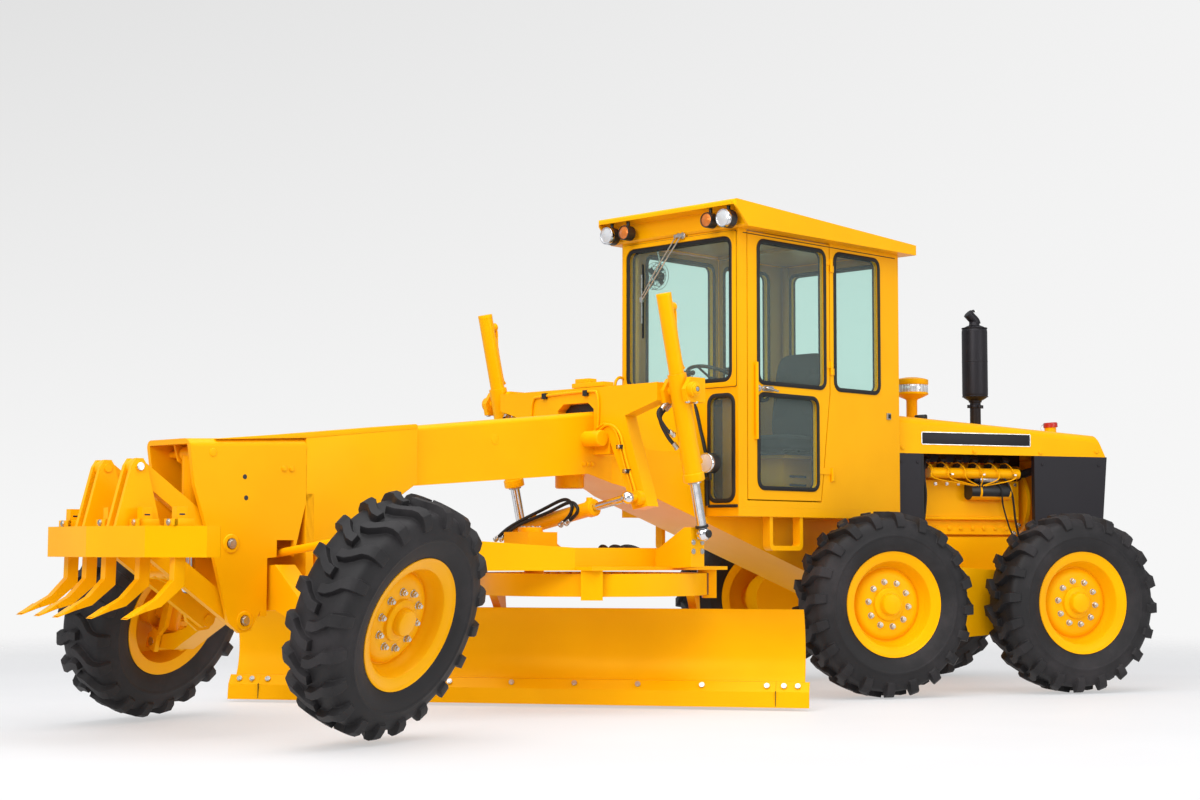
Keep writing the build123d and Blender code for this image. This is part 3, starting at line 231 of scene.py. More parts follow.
def rubbery(name, fresh, dusty, grain, rough, edge=0.0):
    """Rubber with a dull bloom where dust has settled."""
    rubber = Finish(name)
    dust = rubber.between(rubber.clouds(3.0, 6.0, 0.65), 0.4, 0.75)
    return rubber.skin(
        Base_Color=rubber.blend(dust, fresh, dusty),
        Roughness=rough + dust * 0.15,
        Specular_IOR_Level=0.34,
        Normal=rubber.relief(rubber.clouds(grain, 3.0), 0.25, 0.0008, edge),
    )


def metallic(name, tint, rough, edge=0.0015):
    """Bare metal, a little smudged by handling."""
    metal = Finish(name)
    smudge = metal.between(metal.clouds(24.0, 5.0, 0.6), 0.35, 0.75)
    return metal.skin(
        Base_Color=metal.blend(smudge, tint, lighter(tint, 0.82)),
        Metallic=1.0,
        Roughness=rough + smudge * 0.12,
        Normal=metal.relief(metal.clouds(220.0, 2.0), 0.05, 0.0004, edge),
    )


def moulded(name, tint, rough, grain=260.0):
    """Plastic with a fine leather grain."""
    plastic = Finish(name)
    tone = plastic.clouds(7.0, 3.0)
    return plastic.skin(
        Base_Color=plastic.blend(tone, tint, lighter(tint, 1.3)),
        Roughness=rough + tone * 0.08,
        Normal=plastic.relief(plastic.clouds(grain, 2.0), 0.12, 0.0004, 0.002),
    )


def woven(name, tint):
    """Coarse seat cloth: two crossing sets of threads."""
    cloth = Finish(name)
    threads = {"Vector": cloth.spot, "Scale": 190.0, "Distortion": 1.5}
    warp = cloth.node("TexWave", {"bands_direction": "X"}, **threads)
    weft = cloth.node("TexWave", {"bands_direction": "Z"}, **threads)
    worn = cloth.clouds(9.0, 4.0)
    return cloth.skin(
        Base_Color=cloth.blend(worn, tint, lighter(tint, 1.7)),
        Roughness=0.82 + worn * 0.1,
        Normal=cloth.relief(warp + weft, 0.35, 0.0008),
    )


def glazed(name, tint, clearness):
    """Thin tinted pane that lets most light through."""
    pane = Finish(name)
    film = pane.between(pane.clouds(5.0, 4.0), 0.3, 0.8)
    gloss = pane.node(
        "BsdfPrincipled",
        Base_Color=tint,
        Roughness=0.03 + film * 0.05,
        Specular_IOR_Level=0.6,
    )
    clear = pane.node("BsdfTransparent", Color=tint)
    pane.close(pane.mixed(clearness, gloss, clear))
    return pane.material


def lens(name, tint, ridges):
    """Ribbed lamp lens over a bright reflector."""
    cover = Finish(name)
    rib = cover.node("TexWave", {"bands_direction": "Y"}, Vector=cover.spot, Scale=ridges)
    return cover.skin(
        Base_Color=cover.blend(rib, tint, lighter(tint, 0.6)),
        Metallic=0.35,
        Roughness=0.08 + rib * 0.1,
        Coat_Weight=0.9,
        Normal=cover.relief(rib, 0.3, 0.001),
    )


white_sheen = (1, 1, 1)
yellow = painted("yellow_enamel", colour(0.97, 0.445, 0.001), colour(0.93, 0.41, 0.001))
rim_yellow = painted("rim_enamel", colour(0.96, 0.45, 0.001), colour(0.91, 0.40, 0.001), 0.0)
black = painted(
    "black_enamel",
    colour(0.007, 0.006, 0.008),
    colour(0.011, 0.010, 0.012),
    sheen=(0.6, 0.58, 0.62),
    rough=0.42,
)
# painted shade: the cab's yellow darkened to brown, standing for the inside of the cab lying in shadow
painted_shade_tan = painted("cab_lining_painted_shade", colour(0.40, 0.20, 0.035), colour(0.33, 0.165, 0.03))
red_enamel = painted("red_enamel", colour(0.45, 0.02, 0.01), colour(0.38, 0.015, 0.01), 0.002, white_sheen)
tyre_rubber = rubbery(
    "tyre_rubber", colour(0.010, 0.009, 0.010), colour(0.032, 0.028, 0.030), 90.0, 0.58, edge=0.006
)
seal_rubber = rubbery("seal_rubber", grey(0.008), grey(0.02), 120.0, 0.5)
hose_rubber = rubbery("hose_rubber", grey(0.01), grey(0.03), 300.0, 0.45)
chrome = metallic("hard_chrome", colour(0.78, 0.78, 0.8), 0.07)
zinc = metallic("zinc_steel", colour(0.62, 0.61, 0.58), 0.26)
dark_steel = metallic("dark_steel", colour(0.09, 0.09, 0.1), 0.42)
black_plastic = moulded("black_plastic", grey(0.012), 0.38)
seat_cloth = woven("seat_cloth", colour(0.012, 0.012, 0.014))
glass = glazed("tinted_glass", colour(0.86, 0.955, 0.93), 0.95)
clear_lens = lens("clear_lens", colour(0.85, 0.87, 0.9), 60.0)
amber_lens = lens("amber_lens", colour(0.85, 0.22, 0.01), 60.0)



def coat_nodes():
    """Gives every piece of the frame its finish."""
    special = {
        "side_panels": black,
        "rear_grille": black,
        "exhaust": black,
        "lamps": black_plastic,
        "seat": seat_cloth,
        "cab_glass": glass,
        "door_glass_left": glass,
        "door_glass_right": glass,
        "lift_rod_left": chrome,
        "lift_rod_right": chrome,
        "shift_rod": chrome,
        "scarifier_rod": chrome,
    }
    for name, obj in nodes.items():
        coat = special.get(name, tyre_rubber if name.startswith("tyre") else yellow)
        obj.data.materials.clear()
        obj.data.materials.append(coat)


coat_nodes()


# ---- shapes gathered as points and faces ----
class Form:
    """Points and faces in some unit's own axes."""

    def __init__(self):
        self.points = []
        self.faces = []

    def put(self, points, faces):
        base = len(self.points)
        self.points += [Vector(p) for p in points]
        self.faces += [[base + i for i in f] for f in faces]
        return self

    def loft(self, rows, closed=False, ends=False):
        """Joins rows of points of equal length into bands; a closed row is a loop."""
        width = len(rows[0])
        span = width if closed else width - 1
        faces = []
        for r in range(len(rows) - 1):
            for k in range(span):
                a = r * width + k
                b = r * width + (k + 1) % width
                faces.append([a, b, b + width, a + width])
        if ends:
            last = (len(rows) - 1) * width
            faces.append(list(range(width)))
            faces.append(list(range(last, last + width)))
        return self.put([p for row in rows for p in row], faces)

    def lathe(self, profile, start, axis, segments=32):
        """Turns (radius, height) pairs about an axis through start."""
        axis = Vector(axis).normalized()
        start = Vector(start)
        u = axis.orthogonal().normalized()
        v = axis.cross(u)
        rows = []
        for k in range(segments + 1):
            a = 2 * pi * k / segments
            spoke = u * cos(a) + v * sin(a)
            rows.append([start + spoke * r + axis * h for r, h in profile])
        return self.loft(rows)

    def tube(self, path, radius, segments=12):
        """A round pipe along a path, closed at both ends."""
        path = [Vector(p) for p in path]
        turns = [2 * pi * k / segments for k in range(segments)]
        rows = []
        side = None
        for i, p in enumerate(path):
            way = (path[min(i + 1, len(path) - 1)] - path[max(i - 1, 0)]).normalized()
            side = way.orthogonal() if side is None else side - way * side.dot(way)
            side.normalize()
            other = way.cross(side)
            rows.append([p + side * radius * cos(a) + other * radius * sin(a) for a in turns])
        return self.loft(rows, closed=True, ends=True)

    def slab(self, outline, low, high, way):
        """A flat outline made thick. way turns (across, up, depth) into a point."""
        rows = [[way(a, b, d) for a, b in outline] for d in (low, high)]
        return self.loft(rows, closed=True, ends=True)

    def box(self, low, high):
        x, y, z = zip(low, high)
        outline = [(x[0], y[0]), (x[1], y[0]), (x[1], y[1]), (x[0], y[1])]
        return self.slab(outline, z[0], z[1], lambda a, b, d: (a, b, d))


def new_forms(count):
    return [Form() for _ in range(count)]


def upright(a, b, d):
    """Stands a slab's outline on its edge, along the machine."""
    return (a, d, b)


def face_way(axis, face, outwards):
    """Draws on a wall that faces along X (axis 0) or Y (axis 1), across it, up it and out of it."""
    if axis == 0:
        return lambda a, b, out: (face + outwards * out, a, b)
    return lambda a, b, out: (a, face + outwards * out, b)


def curve(points, steps=8):
    """A smooth path through the points."""
    points = [Vector(p) for p in points]
    ends = [points[0] * 2 - points[1]] + points + [points[-1] * 2 - points[-2]]
    path = []
    for a, b, c, d in zip(ends, ends[1:], ends[2:], ends[3:]):
        for k in range(steps):
            t = k / steps
            path.append(
                b
                + (c - a) * (t / 2)
                + (a * 2 - b * 5 + c * 4 - d) * (t * t / 2)
                + (b * 3 - a - c * 3 + d) * (t * t * t / 2)
            )
    return path + [points[-1]]


def round_outline(x0, x1, y0, y1, radius, steps=6):
    """A rectangle with round corners, as points in order."""
    loop = []
    corners = ((x1, y1, 0), (x0, y1, 1), (x0, y0, 2), (x1, y0, 3))
    for x, y, quarter in corners:
        cx = x - radius if quarter in (0, 3) else x + radius
        cy = y - radius if quarter in (0, 1) else y + radius
        for k in range(steps + 1):
            a = pi / 2 * (quarter + k / steps)
            loop.append((cx + radius * cos(a), cy + radius * sin(a)))
    return loop


still = Matrix.Identity(4)


def as_mesh(name, form, place=still, soften=0.0):
    """A clean mesh: doubles merged, faces outwards, sharp edges softened if asked."""
    mesh = bpy.data.meshes.new(name)
    mesh.from_pydata([place @ p for p in form.points], [], form.faces)
    work = bmesh.new()
    work.from_mesh(mesh)
    bmesh.ops.remove_doubles(work, verts=work.verts, dist=merge_gap)
    bmesh.ops.recalc_face_normals(work, faces=work.faces)
    if soften:
        hard = [e for e in work.edges if e.is_manifold and e.calc_face_angle(0) > sharp_angle]
        bmesh.ops.bevel(
            work, geom=hard, offset=soften, segments=2, profile=0.6, affect="EDGES", clamp_overlap=True
        )
    work.to_mesh(mesh)
    work.free()
    return mesh


def settle(name, mesh, coat, body, crisp=38):
    """Links a finished mesh, coats and shades it, and lets it ride on a body. crisp is in degrees."""
    mesh.name = name
    mesh.materials.clear()
    mesh.materials.append(coat)
    mesh.shade_smooth()
    mesh.set_sharp_from_angle(angle=radians(crisp))
    obj = bpy.data.objects.new(name, mesh)
    bpy.context.scene.collection.objects.link(obj)
    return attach(obj, body)


def build(name, form, coat, place, body, soften=0.0, crisp=38):
    return settle(name, as_mesh(name, form, place, soften), coat, body, crisp)


# ---- node trees for what repeats ----
class Growth:
    """A geometry tree with named inputs."""

    def __init__(self, name, inputs):
        self.tree = bpy.data.node_groups.new(name, "GeometryNodeTree")
        face = self.tree.interface
        face.new_socket("Shape", in_out="INPUT", socket_type="NodeSocketGeometry")
        face.new_socket("Shape", in_out="OUTPUT", socket_type="NodeSocketGeometry")
        for key, kind in inputs.items():
            face.new_socket(key, in_out="INPUT", socket_type="NodeSocket" + kind)
        self.start = self.tree.nodes.new("NodeGroupInput")

    def given(self, key):
        """The socket of a named input."""
        return self.start.outputs[key]

    def fill(self, place, value):
        if isinstance(value, bpy.types.NodeSocket):
            self.tree.links.new(value, place)
        else:
            place.default_value = value

    def node(self, kind, settings=None, **inputs):
        node = self.tree.nodes.new(kind)
        for key, value in (settings or {}).items():
            setattr(node, key, value)
        for key, value in inputs.items():
            self.fill(node.inputs[key.replace("_", " ")], value)
        return node.outputs[0]

    def maths(self, kind, *values):
        node = self.tree.nodes.new("ShaderNodeMath")
        node.operation = kind
        for place, value in zip(node.inputs, values):
            self.fill(place, value)
        return node.outputs[0]

    def joined(self, *shapes):
        node = self.tree.nodes.new("GeometryNodeJoinGeometry")
        for shape in shapes:
            self.tree.links.new(shape, node.inputs[0])
        return node.outputs[0]

    def copies(self, spots, shape, **turn):
        return self.node("GeometryNodeInstanceOnPoints", Points=spots, Instance=shape, **turn)

    def close(self, shape):
        real = self.node("GeometryNodeRealizeInstances", Geometry=shape)
        coated = self.node("GeometryNodeSetMaterial", Geometry=real, Material=self.given("Coat"))
        end = self.tree.nodes.new("NodeGroupOutput")
        self.tree.links.new(coated, end.inputs[0])

    def grow(self, name, mesh, **values):
        """Runs the tree over a mesh and returns the plain result."""
        seed = bpy.data.objects.new(name, mesh)
        bpy.context.scene.collection.objects.link(seed)
        step = seed.modifiers.new("grow", "NODES")
        step.node_group = self.tree
        for item in self.tree.interface.items_tree:
            if item.in_out == "INPUT" and item.name in values:
                step[item.identifier] = values[item.name]
        bpy.context.view_layer.update()
        shown = seed.evaluated_get(bpy.context.evaluated_depsgraph_get())
        result = bpy.data.meshes.new_from_object(shown)
        bpy.data.objects.remove(seed)
        return result


def ring_tree():
    """Copies the shape round the Y axis."""
    tree = Growth("ring_of_copies", {"Count": "Int", "Start": "Float", "Coat": "Material"})
    count = tree.given("Count")
    spots = tree.node("GeometryNodePoints", Count=count)
    share = tree.maths("DIVIDE", tree.node("GeometryNodeInputIndex"), count)
    turn = tree.maths("MULTIPLY_ADD", share, 2 * pi, tree.given("Start"))
    way = tree.node("ShaderNodeCombineXYZ", Y=turn)
    tree.close(tree.copies(spots, tree.given("Shape"), Rotation=way))
    return tree


def bolt_tree():
    """Puts a headed bolt with its washer on every point, facing the way stored there."""
    sizes = {"Width": "Float", "Height": "Float", "Sides": "Int", "Washer": "Float", "Coat": "Material"}
    tree = Growth("bolts", sizes)
    height = tree.given("Height")
    head = tree.node(
        "GeometryNodeMeshCylinder", Vertices=tree.given("Sides"), Radius=tree.given("Width"), Depth=height
    )
    thin = tree.maths("MULTIPLY", height, 0.55)
    washer = tree.node("GeometryNodeMeshCylinder", Vertices=14, Radius=tree.given("Washer"), Depth=thin)
    facing = tree.node("GeometryNodeInputNamedAttribute", {"data_type": "FLOAT_VECTOR"}, Name="facing")
    way = tree.node("FunctionNodeAlignRotationToVector", {"axis": "Z"}, Vector=facing)
    tree.close(tree.copies(tree.given("Shape"), tree.joined(head, washer), Rotation=way))
    return tree


def row_tree():
    """Repeats the shape in a straight row."""
    tree = Growth("row_of_copies", {"Count": "Int", "Step": "Vector", "Coat": "Material"})
    spots = tree.node(
        "GeometryNodeMeshLine", {"mode": "OFFSET"}, Count=tree.given("Count"), Offset=tree.given("Step")
    )
    tree.close(tree.copies(spots, tree.given("Shape")))
    return tree


rings = ring_tree()
bolting = bolt_tree()
repeats = row_tree()
bolt_spots = {}


def bolt(body, place, spot, facing, size="m16"):
    """Notes a bolt to be made later with the others of its body."""
    turned = place.to_3x3() @ Vector(facing)
    bolt_spots.setdefault((body, size), []).append((place @ Vector(spot), turned))


# ---- wheels ----
tyre_reach = 0.616
tyre_side = [
    (0.332, 0.122),
    (0.3508, 0.138),
    (0.353, 0.147),
    (0.366, 0.153),
    (0.384, 0.163),
    (0.410, 0.171),
    (0.438, 0.1755),
    (0.446, 0.1765),
    (0.450, 0.1795),
    (0.459, 0.1795),
    (0.463, 0.1765),
    (0.492, 0.172),
    (0.522, 0.164),
    (0.548, 0.152),
    (0.563, 0.138),
    (0.572, 0.116),
    (0.578, 0.070),
    (0.580, 0.0),
]
lug_stations = (             # along, half width, top's reach out and radius, foot's reach out and radius
    (0.040, 0.023, -0.014, tyre_reach, -0.014, 0.570),
    (0.033, 0.024, 0.030, tyre_reach, 0.030, 0.570),
    (0.006, 0.027, 0.066, tyre_reach - 0.001, 0.066, 0.567),
    (-0.028, 0.030, 0.100, tyre_reach - 0.003, 0.098, 0.563),
    (-0.037, 0.031, 0.136, tyre_reach - 0.008, 0.124, 0.552),
    (-0.040, 0.031, 0.162, 0.590, 0.140, 0.540),
    (-0.041, 0.029, 0.1785, 0.548, 0.153, 0.525),
    (-0.041, 0.024, 0.1795, 0.515, 0.160, 0.500),
)
lugs_each_side = 20
lug_flare = 0.008            # a lug's foot is wider than its top by this, at each edge
nut_circle = 0.150
hub_back = {"front": 0.0395, "mid": 0.2112, "rear": 0.2112}    # how far a hub goes inwards


def lug_form(mirror):
    """One bent lug from past the middle of the tread down onto the shoulder."""
    loops = []
    for along, half, top_out, top_r, foot_out, foot_r in lug_stations:
        flare = half + lug_flare
        loops.append(
            [
                (along - flare, foot_out * mirror, foot_r),
                (along - half, top_out * mirror, top_r),
                (along + half, top_out * mirror, top_r),
                (along + flare, foot_out * mirror, foot_r),
            ]
        )
    return Form().loft(loops, closed=True, ends=True)


def tyre_mesh():
    """The carcass with its two rows of lugs, half a pitch apart."""
    whole = tyre_side + [(r, -w) for r, w in reversed(tyre_side[:-1])]
    meshes = [as_mesh("carcass", Form().lathe(whole, (0, 0, 0), (0, 1, 0), 120))]
    for mirror, start in ((1, 0.0), (-1, pi / lugs_each_side)):
        lug = as_mesh("lug", lug_form(mirror))
        meshes.append(rings.grow("lugs", lug, Count=lugs_each_side, Start=start, Coat=tyre_rubber))
    return merged(meshes)


def merged(meshes):
    """Several meshes as one."""
    work = bmesh.new()
    for mesh in meshes:
        work.from_mesh(mesh)
    whole = bpy.data.meshes.new("whole")
    work.to_mesh(whole)
    work.free()
    return whole


def rim_mesh(hub_end):
    """The dished wheel with its flanges, and a hub reaching hub_end inwards."""
    profile = [
        (0.0, 0.132),
        (0.048, 0.131),
        (0.064, 0.127),
        (0.071, 0.118),
        (0.075, 0.092),
        (0.100, 0.088),
        (0.108, 0.082),
        (0.112, 0.067),
        (0.180, 0.063),
        (0.205, 0.060),
        (0.226, 0.050),
        (0.236, 0.038),
        (0.241, 0.030),
        (0.246, 0.030),
        (0.250, 0.044),
        (0.262, 0.060),
        (0.272, 0.084),
        (0.279, 0.112),
        (0.286, 0.126),
        (0.300, 0.134),
        (0.326, 0.139),
        (0.342, 0.144),
        (0.350, 0.150),
        (0.3505, 0.143),
        (0.340, 0.137),
        (0.304, 0.124),
        (0.304, -0.124),
        (0.340, -0.137),
        (0.3505, -0.143),
        (0.350, -0.150),
        (0.338, -0.149),
        (0.284, -0.136),
        (0.280, -0.060),
        (0.276, 0.020),
        (0.240, 0.022),
        (0.105, 0.040),
        (0.104, -hub_end),
        (0.0, -hub_end),
    ]
    return as_mesh("rim", Form().lathe(profile, (0, 0, 0), (0, 1, 0), 96))


def nut_form():
    """A wheel nut with its stud's end, standing on the disc."""
    stud = [(0.0, 0.094), (0.010, 0.094), (0.0115, 0.092), (0.0115, 0.084)]
    nut = [(0.0115, 0.084), (0.0165, 0.083), (0.018, 0.080), (0.018, 0.064)]
    washer = [(0.018, 0.068), (0.021, 0.067), (0.022, 0.062)]
    form = Form()
    for profile, segments in ((stud, 10), (nut, 6), (washer, 14)):
        form.lathe(profile, (0, 0, nut_circle), (0, 1, 0), segments)
    return form


def make_wheels():
    tyre = tyre_mesh()
    nuts = rings.grow("nuts", as_mesh("nut", nut_form()), Count=10, Start=0.2, Coat=zinc)
    for name, place in wheels.items():
        hub_end = hub_back[name.split("_")[0]]
        for kind, mesh, coat in (
            ("tread", tyre.copy(), tyre_rubber),
            ("dish", rim_mesh(hub_end), rim_yellow),
            ("nuts", nuts.copy(), zinc),
        ):
            mesh.transform(place)
            piece = settle(f"{kind}_{name}", mesh, coat, f"wheel_{name}", 30)
            if kind == "tread":
                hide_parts(f"tyre_{name}")
            elif kind == "dish":
                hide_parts(f"rim_{name}")


make_wheels()


# ---- cab windows and lamps ----
cab_front = 1.850            # outer faces of the front and rear walls
cab_rear = 0.130
cab_middle = (cab_front + cab_rear) / 2
cab_half = 0.520
cab_wall = 0.040
inside = cab_half - cab_wall
pane_corner = 0.055
thin_pane = 0.02             # a pane is thinner than this
seal_section = (             # out over the wall from the pane's edge, and up from the wall
    (-0.013, 0.0),
    (-0.013, 0.005),
    (-0.006, 0.009),
    (0.006, 0.009),
    (0.014, 0.005),
    (0.015, 0.0),
)
lamp_spots = {               # X, half span, Z and radius of each pair of lamps
    "clear": [(1.995, 0.525, 3.095, 0.060), (1.990, 0.365, 1.530, 0.066)],
    "amber": [(1.985, 0.372, 3.100, 0.050)],
}


def gasket(form, x0, x1, z0, z1, way):
    """The black seal round a pane. way turns (across, up, out) into a point."""
    rows = []
    for grow, out in seal_section:
        loop = round_outline(x0 - grow, x1 + grow, z0 - grow, z1 + grow, pane_corner + grow, 5)
        rows.append([way(a, b, out) for a, b in loop])
    form.loft(rows, closed=True)


def pane_boxes(node, place):
    """A node's solids as boxes in a unit's axes, split by where their points hang together."""
    inverse = place.inverted()
    work = bmesh.new()
    work.from_mesh(nodes[node].data)
    bmesh.ops.remove_doubles(work, verts=work.verts, dist=merge_gap)
    left = set(work.verts)
    boxes = []
    while left:
        group = [left.pop()]
        for v in group:
            for e in v.link_edges:
                other = e.other_vert(v)
                if other in left:
                    left.remove(other)
                    group.append(other)
        spots = [inverse @ v.co for v in group]
        low = [min(p[i] for p in spots) for i in range(3)]
        high = [max(p[i] for p in spots) for i in range(3)]
        boxes.append((low, high))
    work.free()
    return boxes


def make_seals():
    for node, body in (
        ("cab_glass", "front_unit"),
        ("door_glass_left", "door_left"),
        ("door_glass_right", "door_right"),
    ):
        form = Form()
        for low, high in pane_boxes(node, front):
            axis = 0 if high[0] - low[0] < thin_pane else 1
            across = 1 - axis
            middle = (low[axis] + high[axis]) / 2
            outwards = 1 if middle > (cab_middle, 0.0)[axis] else -1
            for turn in (outwards, -outwards):
                way = face_way(axis, middle + turn * cab_wall / 2, turn)
                gasket(form, low[across], high[across], low[2], high[2], way)
        seal = build(f"seals_{body}", form, seal_rubber, front, body)


def dome(form, trim, spot, radius):
    """A bulged lens in its bezel, facing forwards."""
    steps = 6
    edge = radius * 0.88
    bulge = [(edge * k / steps, 0.004 + 0.012 * cos(pi / 2 * k / steps)) for k in range(steps + 1)]
    form.lathe(bulge + [(edge, 0.0)], spot, (1, 0, 0), 32)
    rim = [(0.86, 0.002), (0.88, 0.009), (0.95, 0.010), (1.0, 0.004), (1.01, -0.012), (1.0, -0.014)]
    trim.lathe([(radius * r, h) for r, h in rim], spot, (1, 0, 0), 32)


def make_lenses():
    for kind, coat, bezel_coat in (("clear", clear_lens, chrome), ("amber", amber_lens, black_plastic)):
        domes, bezels = new_forms(2)
        for s in sides.values():
            for x, y, z, radius in lamp_spots[kind]:
                dome(domes, bezels, (x, s * y, z), radius)
        piece = build(f"lenses_{kind}", domes, coat, front, "front_unit")
        bezel = build(f"bezels_{kind}", bezels, bezel_coat, front, "front_unit")


make_seals()
make_lenses()


# ---- fittings: hoses, pipes, pins and trim, gathered by finish ----
kit_finishes = {             # finish, slot, softened edge
    "hoses": (hose_rubber, "tyre", 0.0),
    "steel": (zinc, "rod_chrome", 0.0),
    "bright": (chrome, "rod_chrome", 0.0),
    "dark": (black_plastic, "lamp_plastic", 0.0),
    "enamel": (yellow, "yellow_paint", 0.002),
    "pipes": (yellow, "yellow_paint", 0.0),
    "panel": (black, "black_paint", 0.001),
    "trim": (seal_rubber, "tyre", 0.0),
    # lining pieces take the painted shade tan, brown for the shaded inside of the cab
    "lining": (painted_shade_tan, "yellow_paint", 0.001),
    "red": (red_enamel, "lamp_plastic", 0.0),
}
hose_radius = 0.011


def dress(area, body, place, **forms):
    """Builds the forms of one area, one piece for each finish."""
    pieces = {}
    for kind, form in forms.items():
        coat, slot, soften = kit_finishes[kind]
        pieces[kind] = build(f"{kind}_{area}", form, coat, place, body, soften)
    return pieces


def hose(rubber, metal, points, radius=hose_radius):
    """A hose through the points, with a crimped fitting at both ends."""
    rubber.tube(curve(points, 6), radius, 10)
    crimp = [(0, 0), (1.55, 0), (1.55, 0.012), (1.2, 0.014), (1.2, 0.017)]
    crimp += [(1.35, 0.019), (1.3, 0.042), (1.0, 0.045)]
    for near, far in ((0, 1), (-1, -2)):
        start = Vector(points[near])
        metal.lathe([(r * radius, h) for r, h in crimp], start, Vector(points[far]) - start, 12)


def ball(form, middle, radius):
    """A round knob."""
    arc = [(radius * sin(pi * k / 10), -radius * cos(pi * k / 10)) for k in range(11)]
    form.lathe(arc, middle, (0, 0, 1), 20)


def ring(form, middle, axis, radius, thick, segments=40):
    """A round ring of round section."""
    section = [(radius + thick * cos(pi * k / 5), thick * sin(pi * k / 5)) for k in range(11)]
    form.lathe(section, middle, axis, segments)


def disc(form, spot, way, radius, height, edge=0.002):
    """A flat round head with a rounded edge, standing on spot."""
    form.lathe([(0, height), (radius - edge, height), (radius, height - edge), (radius, 0)], spot, way, 28)


def clip(form, spot, low, high):
    """A small block about a spot, by its reach below and above."""
    form.box([s + a for s, a in zip(spot, low)], [s + a for s, a in zip(spot, high)])


def frame_panel(form, outer, hole, corner, way, height):
    """A flat panel with a round-cornered hole, standing so high on the wall that way draws on."""
    rim = round_outline(*outer, 0.012, 5)
    gap = round_outline(*hole, corner, 5)
    rows = [[way(a, b, d) for a, b in loop] for loop, d in ((rim, 0), (rim, height), (gap, height), (gap, 0))]
    form.loft(rows, closed=True)


def side_way(s, wall):
    """Draws on a wall that faces sideways."""
    return face_way(1, s * wall, s)


def front_way(wall, outwards=1):
    """Draws on a wall that faces forwards or backwards."""
    return face_way(0, wall, outwards)


# ---- nose, scarifier and front axle ----
nose_half = 0.202
beam_half = 0.160
saddle_face = 2.808          # the pipes lie along this X, in front of the saddle
lift_pin = (2.71, 0.8, 1.93)             # on the left side; the right side mirrors Y
lift_eye = (2.50, 0.8, 1.07)
shift_ball = Vector((2.91, 0.56, 1.285))
shift_foot = Vector((2.91, -0.40, 1.10))


def make_nose():
    dark, enamel, steel, hoses = new_forms(4)
    boss = [(0.030, 0.007), (0.046, 0.007), (0.050, 0.003), (0.050, 0)]
    for s in sides.values():
        for x, z in ((5.50, 1.00), (5.41, 0.60)):
            enamel.lathe(boss, (x, s * nose_half, z), (0, s, 0), 32)
            bolt("front_unit", front, (x, s * 0.207, z), (0, s, 0), "m24")
        for x, z in ((5.42, 1.35), (5.41, 1.24)):
            disc(dark, (x, s * nose_half, z), (0, s, 0), 0.013, 0.0012, 0.0004)
        ear = [(5.555, 1.515), (5.685, 1.515), (5.66, 1.43), (5.64, 1.42), (5.60, 1.42), (5.58, 1.43)]
        enamel.slab(ear, s * 0.054, s * 0.070, upright)
        disc(enamel, (5.62, s * nose_half, 1.47), (0, s, 0), 0.022, 0.003)
        for x in (5.12, 5.17):
            bolt("front_unit", front, (x, s * nose_half, 1.40), (0, s, 0), "plug")
        for path in (
            ((5.33, 0.06, 1.44), (5.40, 0.07, 1.33), (5.50, 0.06, 1.36), (5.585, 0.045, 1.40)),
            ((5.32, 0.12, 1.30), (5.36, 0.13, 1.18), (5.34, 0.12, 1.02), (5.32, 0.10, 0.90)),
        ):
            hose(hoses, steel, [(x, s * y, z) for x, y, z in path])
    dress("nose", "front_unit", front, dark=dark, enamel=enamel, steel=steel, hoses=hoses)

    # cheeks carried back over the beam, with a lid that steps down at its end
    fairing = Form()
    cheek = [(5.025, 0.960), (5.025, 1.590), (4.270, 1.672), (4.250, 1.655)]
    cheek += [(4.250, 1.345), (4.275, 1.329), (4.500, 1.190), (4.800, 0.985)]
    for s in sides.values():
        fairing.slab(cheek, *sorted((s * 0.159, s * nose_half)), upright)
    lid = [(5.60, 1.5395), (5.60, 1.5440), (5.02, 1.600), (4.262, 1.681), (4.250, 1.676)]
    lid += [(4.250, 1.655), (5.02, 1.570)]
    fairing.slab(lid, -0.2035, 0.2035, upright)
    build("nose_fairing", fairing, yellow, front, "front_unit", 0.006)

    sockets, pins, slots = new_forms(3)
    for y in (-0.5, -0.25, 0.0, 0.25, 0.5):
        x = 6.09 - abs(y) * 0.16
        clip(sockets, (x, y, 1.085), (-0.058, -0.042, 0), (0.058, -0.0225, 0.035))
        clip(sockets, (x, y, 1.085), (-0.058, 0.0225, 0), (0.058, 0.042, 0.035))
        clip(sockets, (x, y, 1.085), (0.036, -0.042, 0), (0.062, 0.042, 0.035))
        bolt("scarifier", front, (x + 0.062, y, 1.103), (1, 0, 0), "m16")
        for side in (-1, 1):
            clip(slots, (x, y + side * 0.0222, 1.15), (-0.016, -0.0006, -0.012), (0.016, 0.0006, -0.004))
        tip = [(x + 0.20, 0.668), (x + 0.306, 0.632), (x + 0.21, 0.690)]
        sockets.slab(tip, y - 0.030, y + 0.030, upright)
    for s in sides.values():
        for x, z in ((5.96, 0.985), (6.05, 1.385)):
            disc(pins, (x, s * 0.2025, z), (0, s, 0), 0.021, 0.006)
    dress("scarifier", "scarifier", front, enamel=sockets, steel=pins, dark=slots)

    for name in ("lean_left", "lean_right"):
        spot = Vector(joints[name]["pos_m"])
        way = Vector(joints[name]["axis"]).normalized()
        for d in (-1, 1):
            bolt(name, still, spot + way * d * 0.090, way * d, "pin")


